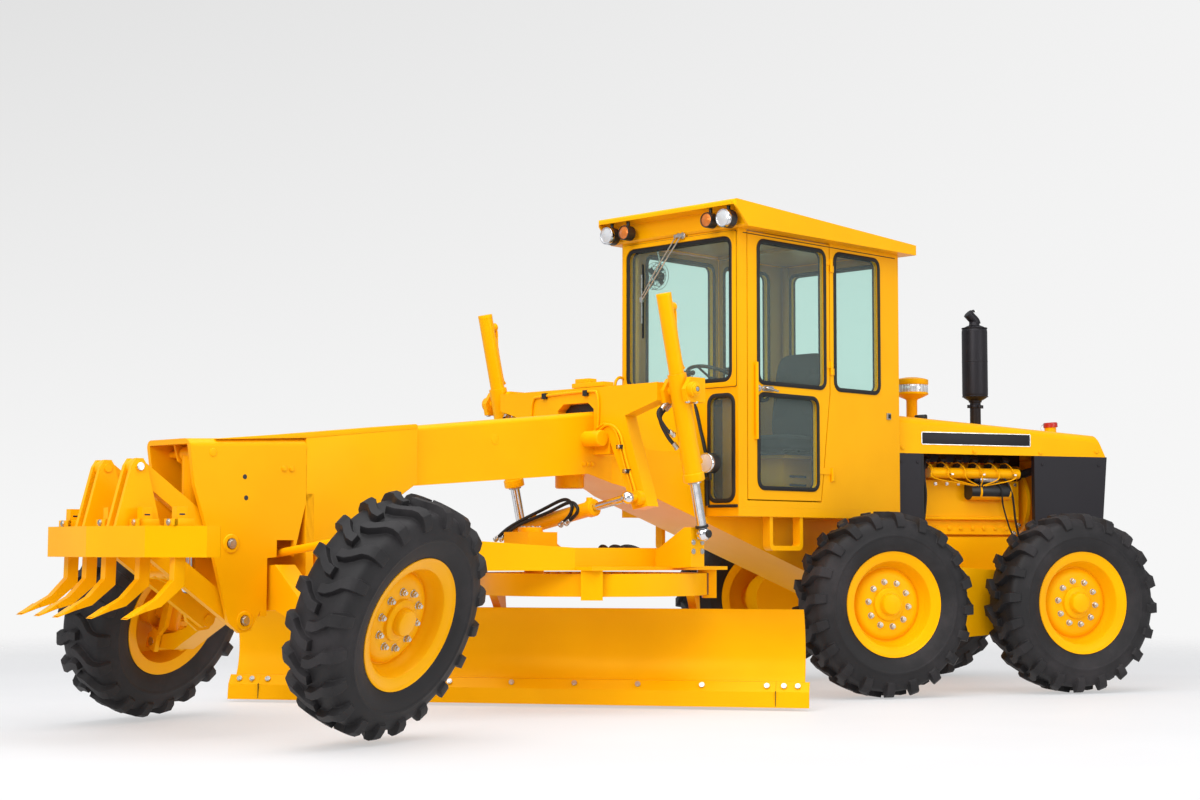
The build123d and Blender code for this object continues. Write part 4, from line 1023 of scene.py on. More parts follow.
def make_saddle():
    enamel, pipes, dark, hoses, steel = new_forms(5)
    for s in sides.values():
        for y0, y1, r in ((0.600, 0.622, 0.062), (0.640, 0.660, 0.058)):
            collar = [(0.049, y0), (r, y0 + 0.002), (r, y1 - 0.002), (0.049, y1)]
            enamel.lathe(collar, (2.71, 0, 1.93), (0, s, 0), 36)
        for y, z in ((0.708, 1.935), (0.880, 1.935)):
            bolt("front_unit", front, (2.635, s * y, z + 0.055), (0, 0, 1), "m12")
        pin = [(0.016, 0.044), (0.026, 0.044), (0.028, 0.040), (0.034, 0.040)]
        pin += [(0.036, 0.034), (0.036, 0.030), (0.046, 0.028), (0.048, 0)]
        enamel.lathe(pin, (2.71, s * 0.904, 1.93), (0, s, 0), 32)
        bolt("front_unit", front, (2.71, s * 0.944, 1.93), (0, s, 0), "m12")
        for x, y in ((2.665, 0.712), (2.735, 0.712), (2.665, 0.888), (2.735, 0.888)):
            bolt("front_unit", front, (x, s * y, 1.856), (0, 0, -1), "m16")
        for path in (
            ((2.735, 0.705, 1.850), (2.79, 0.70, 1.79), (2.76, 0.735, 1.70), (2.70, 0.748, 1.66)),
            ((2.68, 0.690, 1.850), (2.73, 0.66, 1.77), (2.71, 0.70, 1.66), (2.665, 0.745, 1.58)),
        ):
            hose(hoses, steel, [(x, s * y, z) for x, y, z in path], 0.012)
    # pipe loop on the front face, held by two clamps
    bends = [(0.20, 1.70), (0.30, 1.74), (0.395, 1.68), (0.45, 1.52), (0.515, 1.36)]
    loop = [(saddle_face, y, z) for y, z in bends] + [(2.812, 0.535, 1.31)]
    pipes.tube(curve(loop, 8), 0.009, 10)
    pipes.tube(curve([(x, y - 0.03, z + 0.006) for x, y, z in loop], 8), 0.007, 10)
    for y, z in ((0.41, 1.60), (0.465, 1.45)):
        clip(dark, (2.806, y, z), (-0.004, -0.035, -0.012), (0.014, 0.020, 0.012))
        bolt("front_unit", front, (2.820, y - 0.014, z), (1, 0, 0), "m12")
    run = [(-0.40, 1.80), (-0.38, 1.92), (-0.30, 1.945), (0.12, 1.955)]
    run += [(0.20, 1.93), (0.21, 1.80), (0.20, 1.72)]
    pipes.tube(curve([(saddle_face, y, z) for y, z in run], 6), 0.009, 10)
    for y in (-0.27, 0.10):
        clip(dark, (2.806, y, 1.945), (-0.004, -0.018, -0.018), (0.016, 0.018, 0.018))
    # black plate across the arch opening: painted shade, so the opening shows dark
    dark.box((2.715, -0.20, 1.68), (2.730, 0.20, 1.895))
    # stepped box on top, stub and boss at the beam
    enamel.box((2.705, -0.04, 1.983), (2.795, 0.24, 2.012))
    enamel.box((2.715, -0.02, 2.012), (2.785, 0.10, 2.040))
    enamel.lathe([(0, 0.14), (0.046, 0.14), (0.050, 0.135), (0.050, 0)], (2.862, 0.16, 1.655), (0, 1, 0), 32)
    enamel.lathe([(0, 0), (0.082, 0), (0.090, 0.008), (0.090, 0.09)], (2.85, 0, 1.352), (0, 0, 1), 36)
    for s in sides.values():
        disc(enamel, (3.62, s * beam_half, 1.62), (0, s, 0), 0.030, 0.002, 0.001)
        for x in (2.805, 2.845, 2.885):
            bolt("front_unit", front, (x, s * beam_half, 1.50), (0, s, 0), "plug")
    dress("saddle", "front_unit", front, enamel=enamel, pipes=pipes, dark=dark, hoses=hoses, steel=steel)

    lift_way = Vector((-0.21, 0, -0.86)).normalized()
    back = Vector((-lift_way.z, 0, lift_way.x)) * -1
    for side, s in sides.items():
        top, eye = (Vector((x, s * y, z)) for x, y, z in (lift_pin, lift_eye))
        shell, lines, metal, foot = new_forms(4)
        for profile, along, way, segments in (
            ([(0.0, -0.001), (0.0455, 0.0), (0.0468, 0.003), (0.0468, 0.022)], -0.591, lift_way, 36),
            ([(0.057, 0.0), (0.066, 0.004), (0.066, 0.05), (0.057, 0.054)], 0.506, lift_way, 36),
            ([(0.0, 0.075), (0.024, 0.075), (0.027, 0.071), (0.027, 0.0)], -0.50, back, 20),
            ([(0.0, 0.085), (0.018, 0.085), (0.020, 0.082), (0.020, 0.0)], 0.45, back, 20),
        ):
            shell.lathe(profile, top + lift_way * along, way, segments)
        for pipe, radius in (
            ([(-0.50, 0.066), (-0.46, 0.074), (-0.36, 0.056), (-0.16, 0.056), (-0.12, 0.070)], 0.010),
            ([(0.45, 0.080), (0.41, 0.080), (0.30, 0.072), (0.14, 0.072), (0.11, 0.084)], 0.008),
        ):
            lines.tube(curve([top + lift_way * d + back * r for d, r in pipe], 6), radius, 10)
        seal = [(0.030, 0.0), (0.040, 0.001), (0.041, 0.010), (0.030, 0.012)]
        metal.lathe(seal, top + lift_way * 0.562, lift_way, 32)
        dress(f"lift_{side}", f"lift_barrel_{side}", front, enamel=shell, pipes=lines, steel=metal)
        collar = [(0.029, 0), (0.040, 0.001), (0.040, 0.016), (0.029, 0.018)]
        foot.lathe(collar, eye - lift_way * 0.055, lift_way, 32)
        disc(foot, eye + Vector((0, s * 0.043, 0)), (0, s, 0), 0.024, 0.010)
        dress(f"lift_foot_{side}", f"lift_rod_{side}", front, dark=foot)
        for x, z in ((2.54, 0.965), (2.54, 1.02), (2.46, 0.965), (2.46, 1.02)):
            bolt("drawbar", front, (x, s * 0.755, z), (0, s, 0), "m16")

    gland, loops, fitted = new_forms(3)
    shift_way = (shift_foot - shift_ball).normalized()
    collar = [(0.045, 0), (0.054, 0.004), (0.054, 0.045), (0.045, 0.05)]
    gland.lathe(collar, shift_ball + shift_way * 0.282, shift_way, 36)
    port = [(0.0, 0.07), (0.018, 0.07), (0.020, 0.067), (0.020, 0)]
    for along in (0.33, 0.84):
        gland.lathe(port, shift_ball + shift_way * along, (0, 0, 1), 20)
    for dy, lift, foot in ((0.0, 1.280, 1.12), (0.05, 1.262, 1.13)):
        path = [
            (2.965, -0.56 + dy, 1.035),
            (2.975, -0.40 + dy, 1.12),
            (2.97, -0.12 + dy, lift - 0.06),
            (2.96, 0.06 + dy, lift),
            (2.96, 0.13 + dy, lift - 0.03),
            (2.96, 0.12 + dy, 1.19),
            (2.96, 0.03 + dy, foot),
        ]
        hose(loops, fitted, path)
    dress("shift", "shift_barrel", front, pipes=gland, hoses=loops, steel=fitted)


# ---- blade, drawbar and circle ----
def make_blade():
    facing = Vector((0.065, 0, 0.035)).normalized()
    for k in range(9):
        bolt("blade", blade, (0.066, -1.6 + 0.4 * k, 0.1465), facing, "m16")
    for s in sides.values():
        for y in (1.705, 1.790):
            bolt("blade", blade, (0.066, s * y, 0.1465), facing, "m16")
    seams = Form()
    for s in sides.values():
        clip(seams, (0.078, s * 1.6555, 0.075), (-0.012, -0.0015, -0.052), (0.0165, 0.0015, 0.040))
    dress("blade", "blade", blade, trim=seams)

    hoses, steel, enamel = new_forms(3)
    for y in (-0.06, 0.0, 0.06):
        path = [(2.55, y, 0.875), (2.48, y * 1.6, 0.99), (2.36, y * 2.4, 0.97), (2.31, y * 3, 0.885)]
        hose(hoses, steel, path, 0.012)
    for a in (45, 135, 225, 315):
        spoke = Vector((cos(radians(a)), sin(radians(a)), 0))
        for d in (0.68, 0.75):
            for e in (-0.035, 0.035):
                spot = Vector((2.65, 0, 0.854)) + spoke * d + Vector((-spoke.y, spoke.x, 0)) * e
                bolt("drawbar", front, spot, (0, 0, 1), "m16")
    enamel.lathe([(0, 0.03), (0.070, 0.03), (0.075, 0.026), (0.075, 0)], (3.18, 0, 1.079), (0, 0, 1), 32)
    for k in range(6):
        a = pi / 3 * k
        bolt("drawbar", front, (3.18 + 0.055 * cos(a), 0.055 * sin(a), 1.109), (0, 0, 1), "m12")
    dress("drawbar", "drawbar", front, hoses=hoses, steel=steel, enamel=enamel)


make_nose()
make_saddle()
make_blade()


# ---- cab outside ----
def make_cab():
    enamel, trim, steel, dark, pipes = new_forms(5)
    way = front_way(cab_front)
    frame_panel(enamel, (-0.506, 0.506, 2.024, 3.034), (-0.476, 0.476, 2.055, 3.006), 0.07, way, 0.010)
    frame_panel(trim, (-0.509, 0.509, 2.021, 3.037), (-0.505, 0.505, 2.025, 3.033), 0.012, way, 0.0015)
    # rubber where the deep part of the frame meets the cab
    hump = [(0.262, 1.26), (0.254, 1.40), (0.243, 1.60), (0.200, 1.75)]
    hump += [(0.155, 1.90), (0.10, 1.945), (0, 1.95)]
    arch = [(1.858, y, z) for y, z in hump] + [(1.858, -y, z) for y, z in reversed(hump[:-1])]
    trim.tube(curve(arch, 5), 0.014, 10)
    for foot in ((-0.515, -0.4, -0.27), (0.27, 0.4, 0.515)):
        trim.tube(curve([(1.856, y, 1.256) for y in foot], 3), 0.010, 8)
    # far grab loop at the windshield's foot
    grip = [(cab_front, 2.13), (1.90, 2.135), (1.935, 2.10), (1.935, 2.03), (1.90, 1.995), (cab_front, 2.0)]
    pipes.tube(curve([(x, -0.50, z) for x, z in grip], 6), 0.010, 12)
    # wiper: pivot, two arms and the blade
    disc(steel, (cab_front, 0.06, 3.045), (1, 0, 0), 0.022, 0.028)
    disc(steel, (cab_front, 0.02, 3.052), (1, 0, 0), 0.016, 0.024)
    clip(steel, (1.880, 0.045, 3.046), (-0.006, -0.055, -0.010), (0.006, 0.030, 0.010))
    steel.tube([(1.884, 0.055, 3.045), (1.886, -0.14, 2.83), (1.882, -0.305, 2.645)], 0.0055, 8)
    steel.tube([(1.884, 0.015, 3.050), (1.886, -0.17, 2.84), (1.882, -0.318, 2.655)], 0.0045, 8)
    clip(steel, (1.880, -0.308, 2.65), (-0.008, -0.014, -0.016), (0.008, 0.010, 0.016))
    clip(steel, (1.880, -0.305, 2.65), (-0.004, -0.006, -0.16), (0.004, 0.002, 0.17))
    clip(trim, (1.872, -0.305, 2.64), (-0.008, -0.004, -0.25), (0.005, 0.004, 0.25))
    # gutter seam under the roof, latches and plates on the sides
    for s in sides.values():
        way = side_way(s, cab_half)
        clip(steel, (0.262, s * 0.525, 1.905), (-0.022, -0.005, -0.022), (0.022, 0.005, 0.022))
        clip(dark, (0.256, s * 0.531, 1.905), (-0.012, -0.003, -0.014), (0.010, 0.003, 0.014))
        trim.slab([(0.170, 3.022), (1.80, 3.022), (1.80, 3.027), (0.170, 3.027)], 0.0, 0.002, way)
    dress("cab", "front_unit", front, enamel=enamel, trim=trim, steel=steel, dark=dark, pipes=pipes)

    for side, s in sides.items():
        handle, rubber = new_forms(2)
        disc(handle, (1.645, s * cab_half, 2.022), (0, s, 0), 0.021, 0.006)
        disc(handle, (1.645, s * 0.526, 2.022), (0, s, 0), 0.013, 0.012)
        plate = round_outline(1.500, 1.615, 2.006, 2.040, 0.012, 4)
        handle.slab(plate, 0.0, 0.005, side_way(s, cab_half))
        grip = [(1.600, 0.525, 2.024), (1.600, 0.548, 2.024), (1.585, 0.555, 2.022), (1.49, 0.552, 2.008)]
        handle.tube(curve([(x, s * y, z) for x, y, z in grip], 5), 0.008, 10)
        edge = [(1.757, 1.302), (1.757, 3.040), (0.908, 3.040), (0.908, 2.030)]
        rubber.tube([(x, s * 0.500, z) for x, z in edge], 0.004, 6)
        dress(f"door_{side}", f"door_{side}", front, steel=handle, trim=rubber)


# ---- cab inside ----
def make_lining():
    # panels round the windows, the pillars and the roof are in painted shade tan, standing for the shaded
    # inside of the cab
    lining, dark, steel = new_forms(3)
    corner = pane_corner + 0.016
    for outer, hole, way in (
        ((-0.478, 0.478, 1.96, 3.052), (-0.447, 0.447, 2.044, 3.006), front_way(cab_rear + cab_wall)),
        ((-0.478, 0.478, 2.00, 3.052), (-0.477, 0.477, 2.054, 3.006), front_way(cab_front - cab_wall, -1)),
    ):
        frame_panel(lining, outer, hole, corner, way, 0.006)
    for s in sides.values():
        way = face_way(1, s * inside, -s)
        frame_panel(lining, (0.18, 0.90, 1.30, 3.052), (0.343, 0.867, 2.043, 3.007), corner, way, 0.006)
        lining.tube([(1.772, s * 0.455, 1.26), (1.772, s * 0.455, 3.05)], 0.022, 14)
        lining.tube([(0.20, s * 0.450, 1.26), (0.20, s * 0.450, 3.05)], 0.026, 14)
        # brown plates behind the low front panes: painted shade for the dark inside seen through them
        lining.box((1.735, min(s * 0.29, s * 0.47), 1.27), (1.742, max(s * 0.29, s * 0.47), 2.00))
    lining.box((0.215, -0.435, 3.052), (1.765, 0.435, 3.060))
    lining.box((0.9, -0.44, 3.030), (0.96, 0.44, 3.052))
    dark.box((0.18, -0.47, 1.2585), (1.47, 0.47, 1.268))
    # small fan behind the windshield
    hub = Vector((1.755, -0.29, 2.82))
    for x in (-0.022, 0.022):
        for r in (0.092, 0.066, 0.038):
            ring(dark, hub + Vector((x, 0, 0)), (1, 0, 0), r, 0.0016, 32)
    for k in range(16):
        a = pi / 8 * k
        spoke = Vector((0, cos(a), sin(a)))
        wire = ((-0.026, 0.0), (-0.024, 0.07), (0.0, 0.094), (0.024, 0.07), (0.026, 0.0))
        dark.tube([hub + Vector((x, 0, 0)) + spoke * r for x, r in wire], 0.0012, 5)
    for k in range(4):
        turn = pi / 2 * k + 0.4
        u = Vector((0, cos(turn), sin(turn)))
        v = Vector((0.16, -sin(turn), cos(turn)))
        corners = ((0.012, 0.0), (0.075, 0.010), (0.078, 0.055), (0.03, 0.035))
        dark.put([hub + u * a + v * b for a, b in corners], [[0, 1, 2, 3]])
    disc(dark, hub - Vector((0.05, 0, 0)), (1, 0, 0), 0.030, 0.060, 0.008)
    stem = ((-0.03, 0, 0), (-0.03, 0, 0.12), (0.01, 0, 0.235))
    steel.tube([hub + Vector(p) for p in stem], 0.007, 10)
    dress("lining", "front_unit", front, lining=lining, dark=dark, steel=steel)

    for side, s in sides.items():
        # door linings in the same painted shade tan
        inner = Form()
        way = face_way(1, s * inside, -s)
        for outer, hole in (
            ((0.92, 1.745, 2.025, 3.035), (0.943, 1.667, 2.043, 3.007)),
            ((1.01, 1.745, 1.310, 2.020), (1.023, 1.667, 1.358, 2.002)),
        ):
            frame_panel(inner, outer, hole, corner, way, 0.005)
        dress(f"door_lining_{side}", f"door_{side}", front, lining=inner)


def power(value, exponent):
    return abs(value) ** exponent * (1 if value >= 0 else -1)


def cushion(form, middle, ways, half, seams, square=0.34):
    """A crowned closed pad with stitched channels across its face."""
    along, across, out = (Vector(w).normalized() for w in ways)
    rows = []
    turns = 88
    levels = 36
    for i in range(levels + 1):
        lat = pi * (i / levels - 0.5)
        row = []
        for j in range(turns):
            lon = 2 * pi * j / turns
            a = half[0] * power(cos(lat), square) * power(cos(lon), square)
            b = half[1] * power(cos(lat), square) * power(sin(lon), square)
            h = half[2] * power(sin(lat), square * 1.6)
            swell = (1 - (a / half[0]) ** 2) * (1 - (b / half[1]) ** 2)
            h += (0.22 if h > 0 else 0.05) * half[2] * swell * (1 if h > 0 else -1)
            if h > 0:
                for seam in seams:
                    stitched = 2.72 ** (-((a - seam) / 0.011) ** 2)
                    puffed = 2.72 ** (-((abs(a - seam) - 0.045) / 0.03) ** 2)
                    h -= 0.30 * half[2] * stitched * power(max(0.0, cos(lat)), 0.1)
                    h += 0.10 * half[2] * puffed
            row.append(Vector(middle) + along * a + across * b + out * h)
        rows.append(row)
    form.loft(rows, closed=True)


def piping(form, middle, ways, half, level, square=0.34):
    """The welt sewn round a pad's edge."""
    along, across, out = (Vector(w).normalized() for w in ways)
    path = []
    for j in range(73):
        lon = 2 * pi * j / 72
        a = half[0] * 0.985 * power(cos(lon), square)
        b = half[1] * 0.985 * power(sin(lon), square)
        path.append(Vector(middle) + along * a + across * b + out * level)
    form.tube(path, 0.0055, 8)


def make_seat():
    base, shell, steel = new_forms(3)
    base.box((0.64, -0.15, 1.254), (0.96, 0.15, 1.60))
    base.box((0.60, -0.20, 1.60), (1.00, 0.20, 1.625))
    seat_frame = dress("seat_base", "front_unit", front, enamel=base)["enamel"]
    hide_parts("seat")
    for z in (1.36, 1.42, 1.48):
        for s in sides.values():
            clip(shell, (0.80, s * 0.1503, z), (-0.09, -0.001, -0.008), (0.09, 0.001, 0.008))
    shell.box((0.575, -0.215, 1.625), (1.025, 0.215, 1.648))
    rest = [(0.548, 1.66), (0.572, 1.66), (0.492, 2.34), (0.470, 2.34)]
    shell.slab(rest, -0.205, 0.205, upright)
    for s in sides.values():
        bend = [(0.62, s * 0.19, 1.64), (0.555, s * 0.19, 1.66), (0.545, s * 0.19, 1.78)]
        steel.tube(curve(bend, 5), 0.012, 10)
        steel.tube([(0.62, s * 0.175, 1.652), (0.98, s * 0.175, 1.652)], 0.008, 8)
    dress("seat_shell", "front_unit", front, dark=shell, steel=steel)
    lean = Vector((-0.095, 0, 0.60)).normalized()
    outwards = Vector((lean.z, 0, -lean.x))
    level = ((1, 0, 0), (0, 1, 0), (0, 0, 1))
    leaned = (lean, (0, 1, 0), outwards)
    for name, middle, ways, half, seams in (
        ("seat_pad", (0.80, 0, 1.705), level, (0.236, 0.228, 0.052), (-0.09, 0.09)),
        ("seat_back", (0.582, 0, 2.05), leaned, (0.305, 0.218, 0.046), (-0.15, 0.0, 0.15)),
    ):
        pad = Form()
        cushion(pad, middle, ways, half, seams)
        piece = build(name, pad, seat_cloth, front, "front_unit", 0.0, 60)
        welt = Form()
        piping(welt, middle, ways, half, half[2] * 0.55)
        build(f"{name}_welt", welt, seat_cloth, front, "front_unit")


def make_console():
    box_form, dark, steel, gauge = new_forms(4)
    box_form.box((1.48, -0.13, 1.254), (1.64, 0.13, 1.93))
    box_form.box((1.50, -0.24, 1.925), (1.62, 0.24, 1.968))
    tilt = Vector((-sin(radians(25)), 0, cos(radians(25))))
    middle = Vector((1.50, 0, 2.105)) + tilt * 0.012
    steel.tube([(1.565, 0, 1.96), middle - tilt * 0.03], 0.024, 16)
    ring(dark, middle, tilt, 0.190, 0.0125, 56)
    disc(dark, middle - tilt * 0.028, tilt, 0.042, 0.036, 0.008)
    flat = tilt.cross(Vector((0, 1, 0)))
    for a in (0.5, 2.64, 4.71):
        spoke = Vector((0, 1, 0)) * cos(a) + flat * sin(a)
        dark.tube([middle - tilt * 0.010 + spoke * 0.03, middle + spoke * 0.188], 0.008, 8)
    boot = [(0.0, 0.03), (0.009, 0.028), (0.012, 0.012), (0.020, 0.0)]
    for s in sides.values():
        for k in range(4):
            y = s * (0.150 + 0.024 * k)
            steel.tube([(1.560, y, 1.960), (1.545, y, 2.160)], 0.006, 8)
            ball(dark, (1.545, y, 2.170), 0.017)
            dark.lathe(boot, (1.560, y, 1.962), (-0.07, 0, 1), 14)
    dial = [(0.0, 0.012), (0.026, 0.012), (0.030, 0.008), (0.030, 0)]
    for y in (-0.075, 0.0, 0.075):
        gauge.lathe(dial, (1.48, y, 1.86), (-1, 0, 0), 24)
    pieces = dress("console", "front_unit", front, panel=box_form, dark=dark, steel=steel, bright=gauge)
    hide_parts("console")


make_cab()
make_lining()
make_seat()
make_console()


# ---- rear unit: stack, precleaner, hood and engine ----
stack_x = -1.030
cleaner_x = -0.495
hood_half = 0.440
rear_lean = (0.07, 0, 1)     # square to the hood's sloping top


def make_stack():
    shell, steel = new_forms(2)
    shell.lathe(
        [
            (0.0, 1.70), (0.040, 1.70), (0.040, 2.070), (0.048, 2.074), (0.048, 2.084), (0.062, 2.092),
            (0.084, 2.106), (0.093, 2.122), (0.0945, 2.140), (0.0945, 2.600), (0.092, 2.616), (0.082, 2.630),
            (0.058, 2.642), (0.042, 2.648), (0.038, 2.656), (0.038, 2.672), (0.0, 2.672),
        ],
        (stack_x, 0, 0),
        up,
        48,
    )
    bead = [(0.090, -0.004), (0.0955, -0.003), (0.0955, 0.003), (0.090, 0.004)]
    for z in (2.115, 2.375, 2.625):
        shell.lathe(bead, (stack_x, 0, z), up, 48)
    # rain cap, open and pointing forwards
    outlet = [(-1.044, 0, 2.655), (-1.035, 0, 2.680), (-1.008, 0, 2.705), (-0.975, 0, 2.735)]
    shell.tube(curve(outlet, 5), 0.036, 24)
    hinge = Vector((-1.000, 0, 2.748))
    arm = Vector((0.55, 0, -0.20)).normalized()
    disc(shell, hinge + Vector((0.006, 0, -0.010)), (0.62, 0, 0.78), 0.0395, 0.006)
    steel.tube([hinge + Vector((-0.030, -0.022, 0.004)), hinge + Vector((-0.030, 0.022, 0.004))], 0.006, 10)
    steel.tube([hinge + Vector((-0.030, 0, 0.004)), hinge + arm * 0.012], 0.005, 8)
    shell.lathe([(0.040, 0), (0.047, 0.001), (0.047, 0.022), (0.040, 0.023)], (stack_x, 0, 2.030), up, 36)
    for s in sides.values():
        clip(shell, (stack_x, s * 0.054, 2.041), (-0.008, -0.010, -0.012), (0.008, 0.010, 0.012))
        clip(shell, (stack_x + s * 0.054, 0, 2.041), (-0.010, -0.008, -0.012), (0.010, 0.008, 0.012))
    pieces = dress("stack", "rear_unit", rear, panel=shell, steel=steel)
    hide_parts("exhaust")

    cleaner, band, dark, rib = new_forms(4)
    bowl = [(0, 1.70), (0.040, 1.70), (0.040, 2.070), (0.046, 2.080), (0.085, 2.096), (0.112, 2.110)]
    bowl += [(0.121, 2.114), (0.121, 2.126), (0.116, 2.130), (0, 2.130)]
    cleaner.lathe(bowl, (cleaner_x, 0, 0), up, 48)
    lid = [(0, 2.242), (0.050, 2.240), (0.100, 2.231), (0.1215, 2.222)]
    lid += [(0.1215, 2.192), (0.117, 2.184), (0, 2.184)]
    cleaner.lathe(lid, (cleaner_x, 0, 0), up, 48)
    band.lathe([(0.112, 2.128), (0.115, 2.132), (0.115, 2.182), (0.112, 2.186)], (cleaner_x, 0, 0), up, 60)
    rib.loft(
        [
            [(0.112, z, -0.0025), (0.1185, z, -0.0018), (0.1185, z, 0.0018), (0.112, z, 0.0025)]
            for z in (0.0, 0.054)
        ],
        closed=True,
        ends=True,
    )
    ribs = rings.grow("ribs", as_mesh("rib", rib), Count=30, Start=0.0, Coat=clear_lens)
    ribs.transform(rear @ Matrix.Translation((cleaner_x, 0, 2.130)) @ Matrix.Rotation(pi / 2, 4, "X"))
    settle("precleaner_ribs", ribs, clear_lens, "rear_unit", 30)
    build("precleaner_band", band, clear_lens, rear, "rear_unit")
    cap = [(0, 0.030), (0.040, 0.030), (0.046, 0.025), (0.046, 0.0), (0.036, -0.02)]
    dark.lathe(cap, (-0.40, 0.30, 1.915), rear_lean, 32)
    dark.lathe([(0.040, 0), (0.060, 0.0), (0.060, 0.010), (0.040, 0.016)], (stack_x, 0, 1.872), up, 36)
    pieces = dress("precleaner", "rear_unit", rear, pipes=cleaner, dark=dark)
    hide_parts("precleaner")


def make_hood():
    panel, steel, red, enamel, trim, dark = new_forms(6)
    lens = [(0, 0.020), (0.020, 0.018), (0.036, 0.012), (0.042, 0.002), (0.042, 0)]
    bezel = [(0.042, 0.012), (0.049, 0.012), (0.051, 0.008), (0.051, 0)]
    plugs = ((-0.17, 1.70), (-1.78, 1.70), (-0.75, 1.685), (-1.30, 1.685))
    studs = [(x, z) for x in (-0.16, -0.29) for z in (1.11, 1.60)]
    studs += [(-1.80, 1.13), (-1.80, 1.60), (-1.32, 1.60)]
    for s in sides.values():
        way = side_way(s, hood_half)
        panel.slab([(-1.215, 1.728), (-0.325, 1.728), (-0.325, 1.812), (-1.215, 1.812)], 0.0, 0.0028, way)
        frame_panel(steel, (-1.219, -0.321, 1.724, 1.816), (-1.213, -0.327, 1.730, 1.810), 0.003, way, 0.0032)
        trim.slab([(-0.342, 1.075), (-0.321, 1.075), (-0.321, 1.660), (-0.342, 1.660)], -0.022, -0.004, way)
        for size, spots in (("plug", plugs), ("black", studs)):
            for x, z in spots:
                bolt("rear_unit", rear, (x, s * hood_half, z), (0, s, 0), size)
        # rear lamps
        for form, profile in ((red, lens), (dark, bezel)):
            form.lathe(profile, (-1.951, s * 0.33, 0.93), (-1, 0, 0), 28)
    # red cap on its neck
    cap = [(0, 0.036), (0.046, 0.036), (0.052, 0.030), (0.052, 0.0), (0.044, -0.002)]
    neck = [(0.040, 0.09), (0.043, 0.086), (0.043, 0.0), (0.056, -0.004), (0.056, -0.012)]
    red.lathe(cap, (-1.575, 0.16, 1.890), rear_lean, 32)
    enamel.lathe(neck, (-1.575, 0.16, 1.835), rear_lean, 32)
    steel.tube(curve([(-1.53, 0.16, 1.91), (-1.50, 0.16, 1.90), (-1.49, 0.16, 1.845)], 5), 0.003, 6)
    # seam across the hood and its handles
    for x in (-0.72, -1.36):
        z = 1.930 - (x + 0.13) / -1.65 * 0.110
        clip(trim, (x, 0, z), (-0.002, -0.38, -0.004), (0.002, 0.38, 0.0012))
    dress("hood", "rear_unit", rear, panel=panel, steel=steel, red=red, enamel=enamel, trim=trim, dark=dark)


engine_hoses = (             # points on the left side, radius and segments
    # two leads from the starter
    (
        (
            (-1.00, 0.320, 1.487),
            (-1.06, 0.345, 1.49),
            (-1.12, 0.345, 1.38),
            (-1.16, 0.32, 1.20),
            (-1.19, 0.31, 1.09),
        ),
        0.008,
        8,
    ),
    (
        (
            (-0.98, 0.318, 1.468),
            (-1.02, 0.355, 1.43),
            (-1.04, 0.350, 1.30),
            (-1.10, 0.33, 1.15),
            (-1.14, 0.31, 1.09),
        ),
        0.006,
        8,
    ),
    # a hose down the block's front, and one from the radiator's head to the block
    (((-0.44, 0.29, 1.62), (-0.40, 0.33, 1.52), (-0.42, 0.32, 1.35), (-0.40, 0.30, 1.10)), 0.011, 10),
    (((-1.56, 0.20, 1.55), (-1.47, 0.20, 1.575), (-1.36, 0.18, 1.55), (-1.24, 0.15, 1.50)), 0.030, 20),
)


